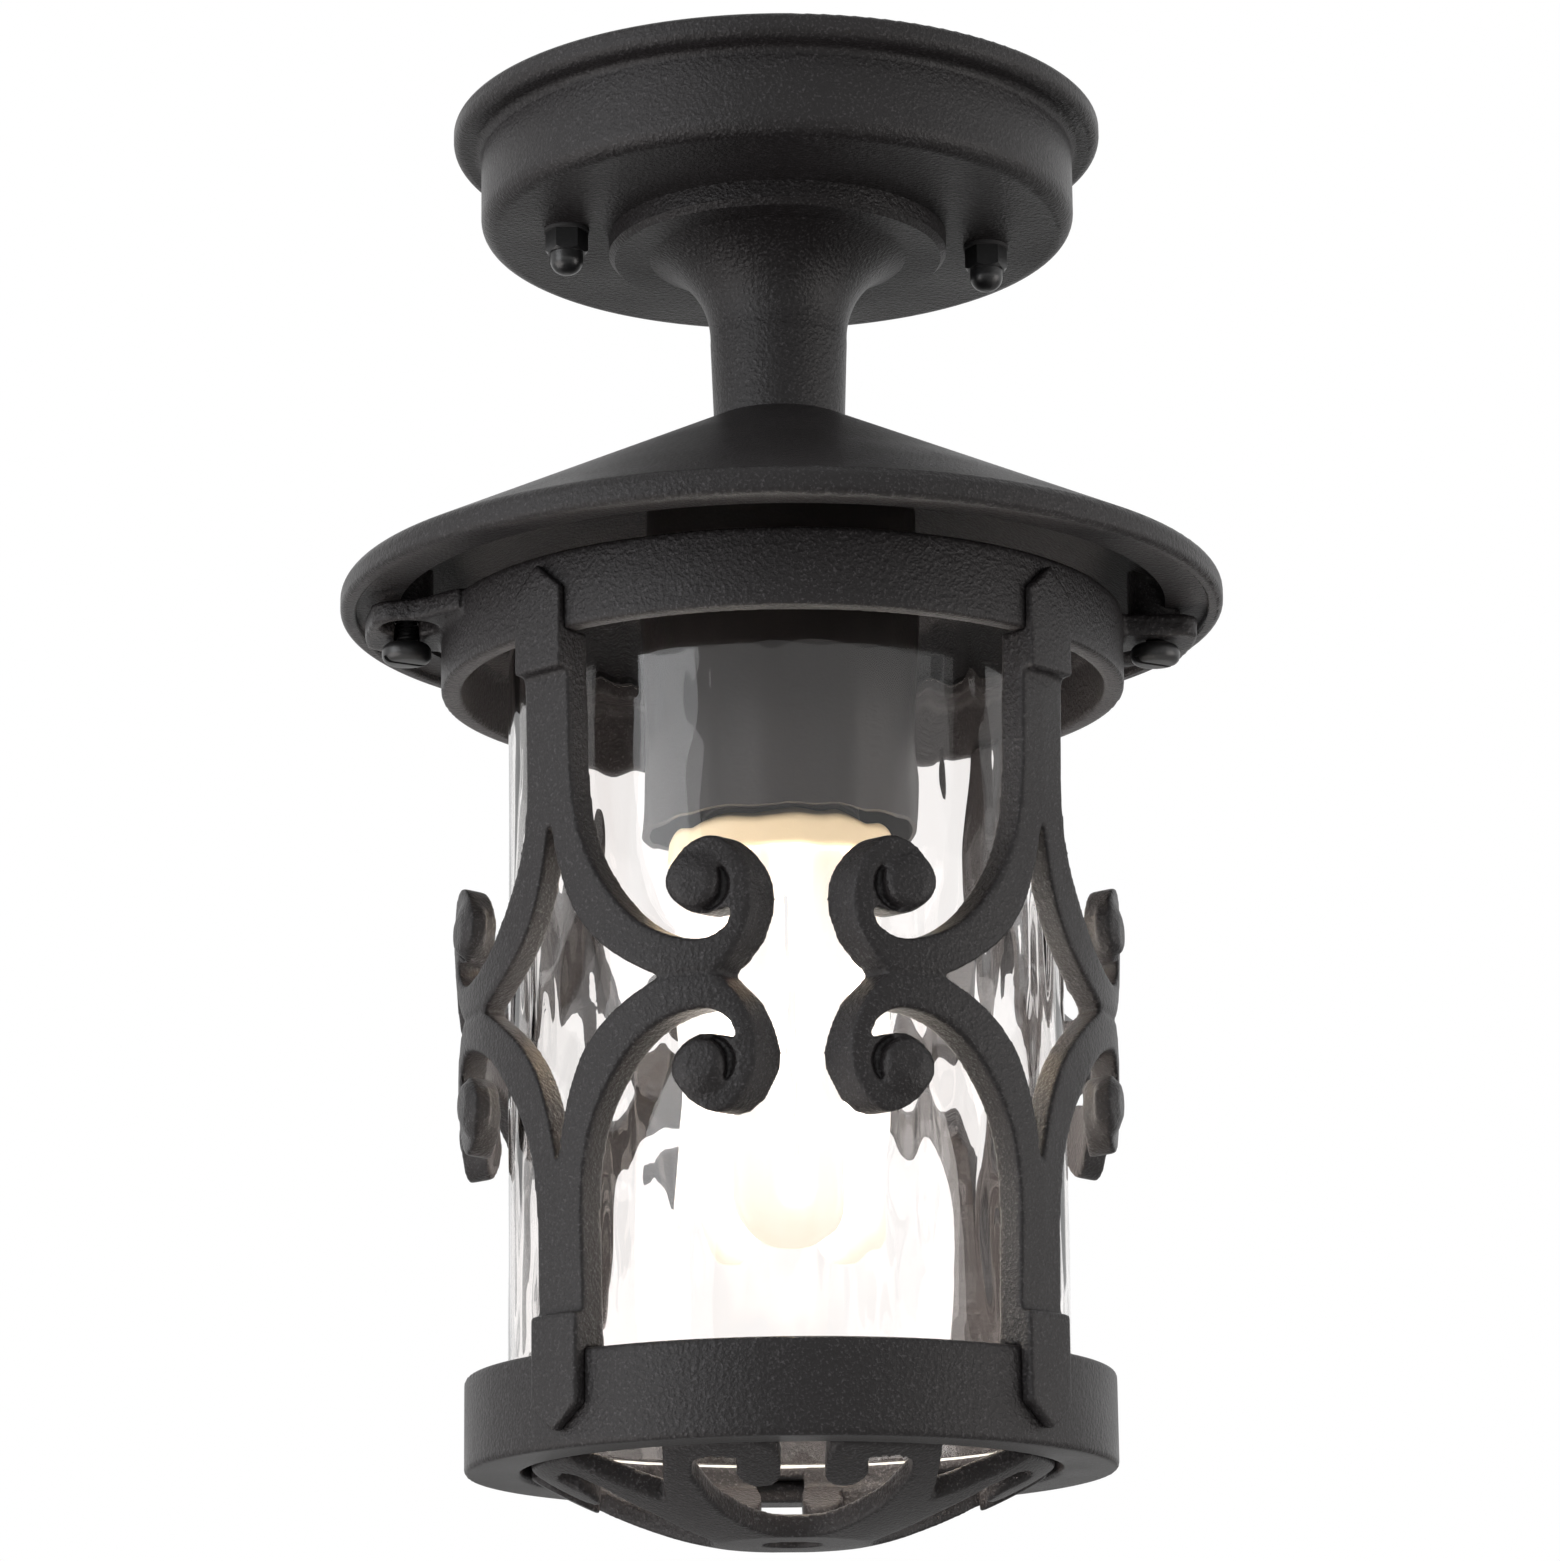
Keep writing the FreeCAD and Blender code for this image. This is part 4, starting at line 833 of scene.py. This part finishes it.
zinc = bare_metal("zinc_steel", (0.58, 0.59, 0.60), (0.42, 0.43, 0.46), 0.34)
brass = bare_metal("earth_brass", (0.76, 0.56, 0.27), (0.55, 0.36, 0.16), 0.30)
lamp_metal = bare_metal("lamp_metal", (0.74, 0.74, 0.75), (0.60, 0.60, 0.62), 0.26)


# %% Plastics, rubber and wire
def moulded(name, colour, flow, roughness, grain=2600.0, relief=0.00003, clearness=0.0):
    """Plastic or rubber; clearness lets light through."""
    material, tree, shader, _ = new_material(name)
    skin = place_group(tree, mould_group, Colour=colour, Flow=flow, Grain=grain,
                       Roughness=roughness)
    tree.links.new(skin.outputs["Colour"], shader.inputs["Base Color"])
    shader.inputs["Transmission Weight"].default_value = clearness
    surface(tree, shader, skin, relief)
    return material


rubber = moulded("black_rubber", (0.022, 0.022, 0.023), (0.034, 0.033, 0.033), 0.78,
                 grain=1800.0, relief=0.00008)
silicone = moulded("clear_silicone", (0.80, 0.80, 0.78), (0.70, 0.70, 0.67), 0.45, clearness=0.5)
white_plastic = moulded("white_plastic", (0.76, 0.74, 0.70), (0.68, 0.66, 0.60), 0.48)
black_plastic = moulded("black_plastic", (0.018, 0.018, 0.020), (0.028, 0.027, 0.028), 0.42)
wire_brown = moulded("wire_insulation", (0.24, 0.085, 0.03), (0.17, 0.055, 0.02), 0.44)
ivory = moulded("ivory_plastic", (0.80, 0.66, 0.44), (0.72, 0.56, 0.34), 0.40)
print("moulded finishes: rubber, silicone, white, black, wire and ivory")

# %% [markdown]
# ### Clear glass
#
# The ripples are modelled, so the material only adds a faint, uneven tint and shallow dimples.
# Plain glass stops shadow rays, so little of the lamp's light would get out. Here shadow rays
# meet a Transparent shader and pass nearly straight through, so the lamp lights the castings.

# %% Clear glass
glass_finish, tree, shader, output = new_material("clear_glass")
shader.inputs["Transmission Weight"].default_value = 1.0
shader.inputs["IOR"].default_value = 1.38
shader.inputs["Roughness"].default_value = 0.0
slow_tint = object_pattern(tree, "TexNoise", 55.0, (1, 1, 0.25), Detail=2.0)
tree.links.new(blend_colours(tree, remap(tree, slow_tint.outputs["Fac"], 0.4, 0.7),
                             (0.992, 0.978, 0.970), (0.965, 0.938, 0.925)),
               shader.inputs["Base Color"])
dimple = add(tree, "Bump", Distance=0.0004, Strength=0.35)
tree.links.new(slow_tint.outputs["Fac"], dimple.inputs["Height"])
tree.links.new(dimple.outputs["Normal"], shader.inputs["Normal"])
clear = add(tree, "BsdfTransparent", Color=(0.92, 0.92, 0.91, 1))
rays = tree.nodes.new("ShaderNodeLightPath")
either = tree.nodes.new("ShaderNodeMixShader")
tree.links.new(rays.outputs["Is Shadow Ray"], either.inputs["Fac"])
tree.links.new(shader.outputs["BSDF"], either.inputs[1])
tree.links.new(clear.outputs["BSDF"], either.inputs[2])
tree.links.new(either.outputs["Shader"], output.inputs["Surface"])
print("index of refraction:", round(shader.inputs["IOR"].default_value, 2))

# %% [markdown]
# ### Lit lamp tubes
#
# A lamp is far brighter than a picture can show. Rays that end in the picture see a cream glow
# that still has its shades, while rays that carry light to the castings get the full power. One
# strength for both would leave either a white blot or dark castings. The phosphor is whiter along
# the middle of a tube, and more amber near the base and round the bend.

# %% Lit tubes
BASE_EDGE, WHITE_TOP = -0.178, -0.196       # heights between which amber turns to white
BEND_FOOT, WHITE_FOOT = -0.262, -0.240

lamp_glow, tree, shader, _ = new_material("lamp_glass")
shader.inputs["Roughness"].default_value = 0.22
shader.inputs["Base Color"].default_value = (0.12, 0.11, 0.10, 1)
powder = object_pattern(tree, "TexNoise", 110.0, (1, 1, 0.3), Detail=2.0)
amber = blend_colours(tree, remap(tree, powder.outputs["Fac"], 0.35, 0.7),
                      (1.0, 0.88, 0.75), (1.0, 0.82, 0.66))
where = tree.nodes.new("ShaderNodeTexCoord")
axes = tree.nodes.new("ShaderNodeSeparateXYZ")
tree.links.new(where.outputs["Object"], axes.inputs[0])
below_base = remap(tree, axes.outputs["Z"], BASE_EDGE, WHITE_TOP)
above_bend = remap(tree, axes.outputs["Z"], BEND_FOOT, WHITE_FOOT)
whiter = figure(tree, "MULTIPLY", below_base, above_bend)
tree.links.new(blend_colours(tree, whiter, amber, (1.0, 0.97, 0.92)),
               shader.inputs["Emission Color"])

# %% Glow that is seen and glow that is carried
SEEN_GLOW, CARRIED_GLOW = 1.02, 55.0

rays = tree.nodes.new("ShaderNodeLightPath")
seen = figure(tree, "MAXIMUM", rays.outputs["Is Camera Ray"], rays.outputs["Is Transmission Ray"])
seen = figure(tree, "MAXIMUM", seen, rays.outputs["Is Glossy Ray"])
tree.links.new(remap(tree, seen, 0.0, 1.0, CARRIED_GLOW, SEEN_GLOW),
               shader.inputs["Emission Strength"])
print("glow, seen and carried:", SEEN_GLOW, CARRIED_GLOW)

# %% Floor finish
floor_finish, tree, shader, _ = new_material("pale_floor")
plaster = object_pattern(tree, "TexNoise", 3.0, Detail=5.0)
tree.links.new(blend_colours(tree, remap(tree, plaster.outputs["Fac"], 0.35, 0.7),
                             (0.80, 0.80, 0.79), (0.76, 0.76, 0.75)), shader.inputs["Base Color"])
shader.inputs["Roughness"].default_value = 0.8
floor.data.materials.append(floor_finish)

# %% [markdown]
# ## Every piece gets its finish
#
# The record names one finish for each solid. A list of solids and finishes could be typed here,
# but reading the record's own names can't get out of step. The new pieces take the same ones.

# %% Give every piece its finish
FINISHES = {
    "black_casting": casting, "black_nut": nut_black, "black_sheet": sheet_black,
    "zinc_steel": zinc, "earth_brass": brass, "lamp_metal": lamp_metal,
    "black_rubber": rubber, "clear_silicone": silicone, "white_plastic": white_plastic,
    "black_plastic": black_plastic, "ivory_plastic": ivory, "wire_insulation": wire_brown,
    "lamp_glass": lamp_glow, "clear_glass": glass_finish}
for part in frame["record"]["subparts"]:
    solid = nodes[part["node"]]
    solid.data.materials.clear()
    solid.data.materials.append(FINISHES[part["material_slot"]])
for piece in list(pillars.values()) + cast_parts:
    piece.data.materials.append(casting)
for screw in screws:
    screw.data.materials.clear()
    screw.data.materials.append(nut_black)
glass.data.materials.append(glass_finish)
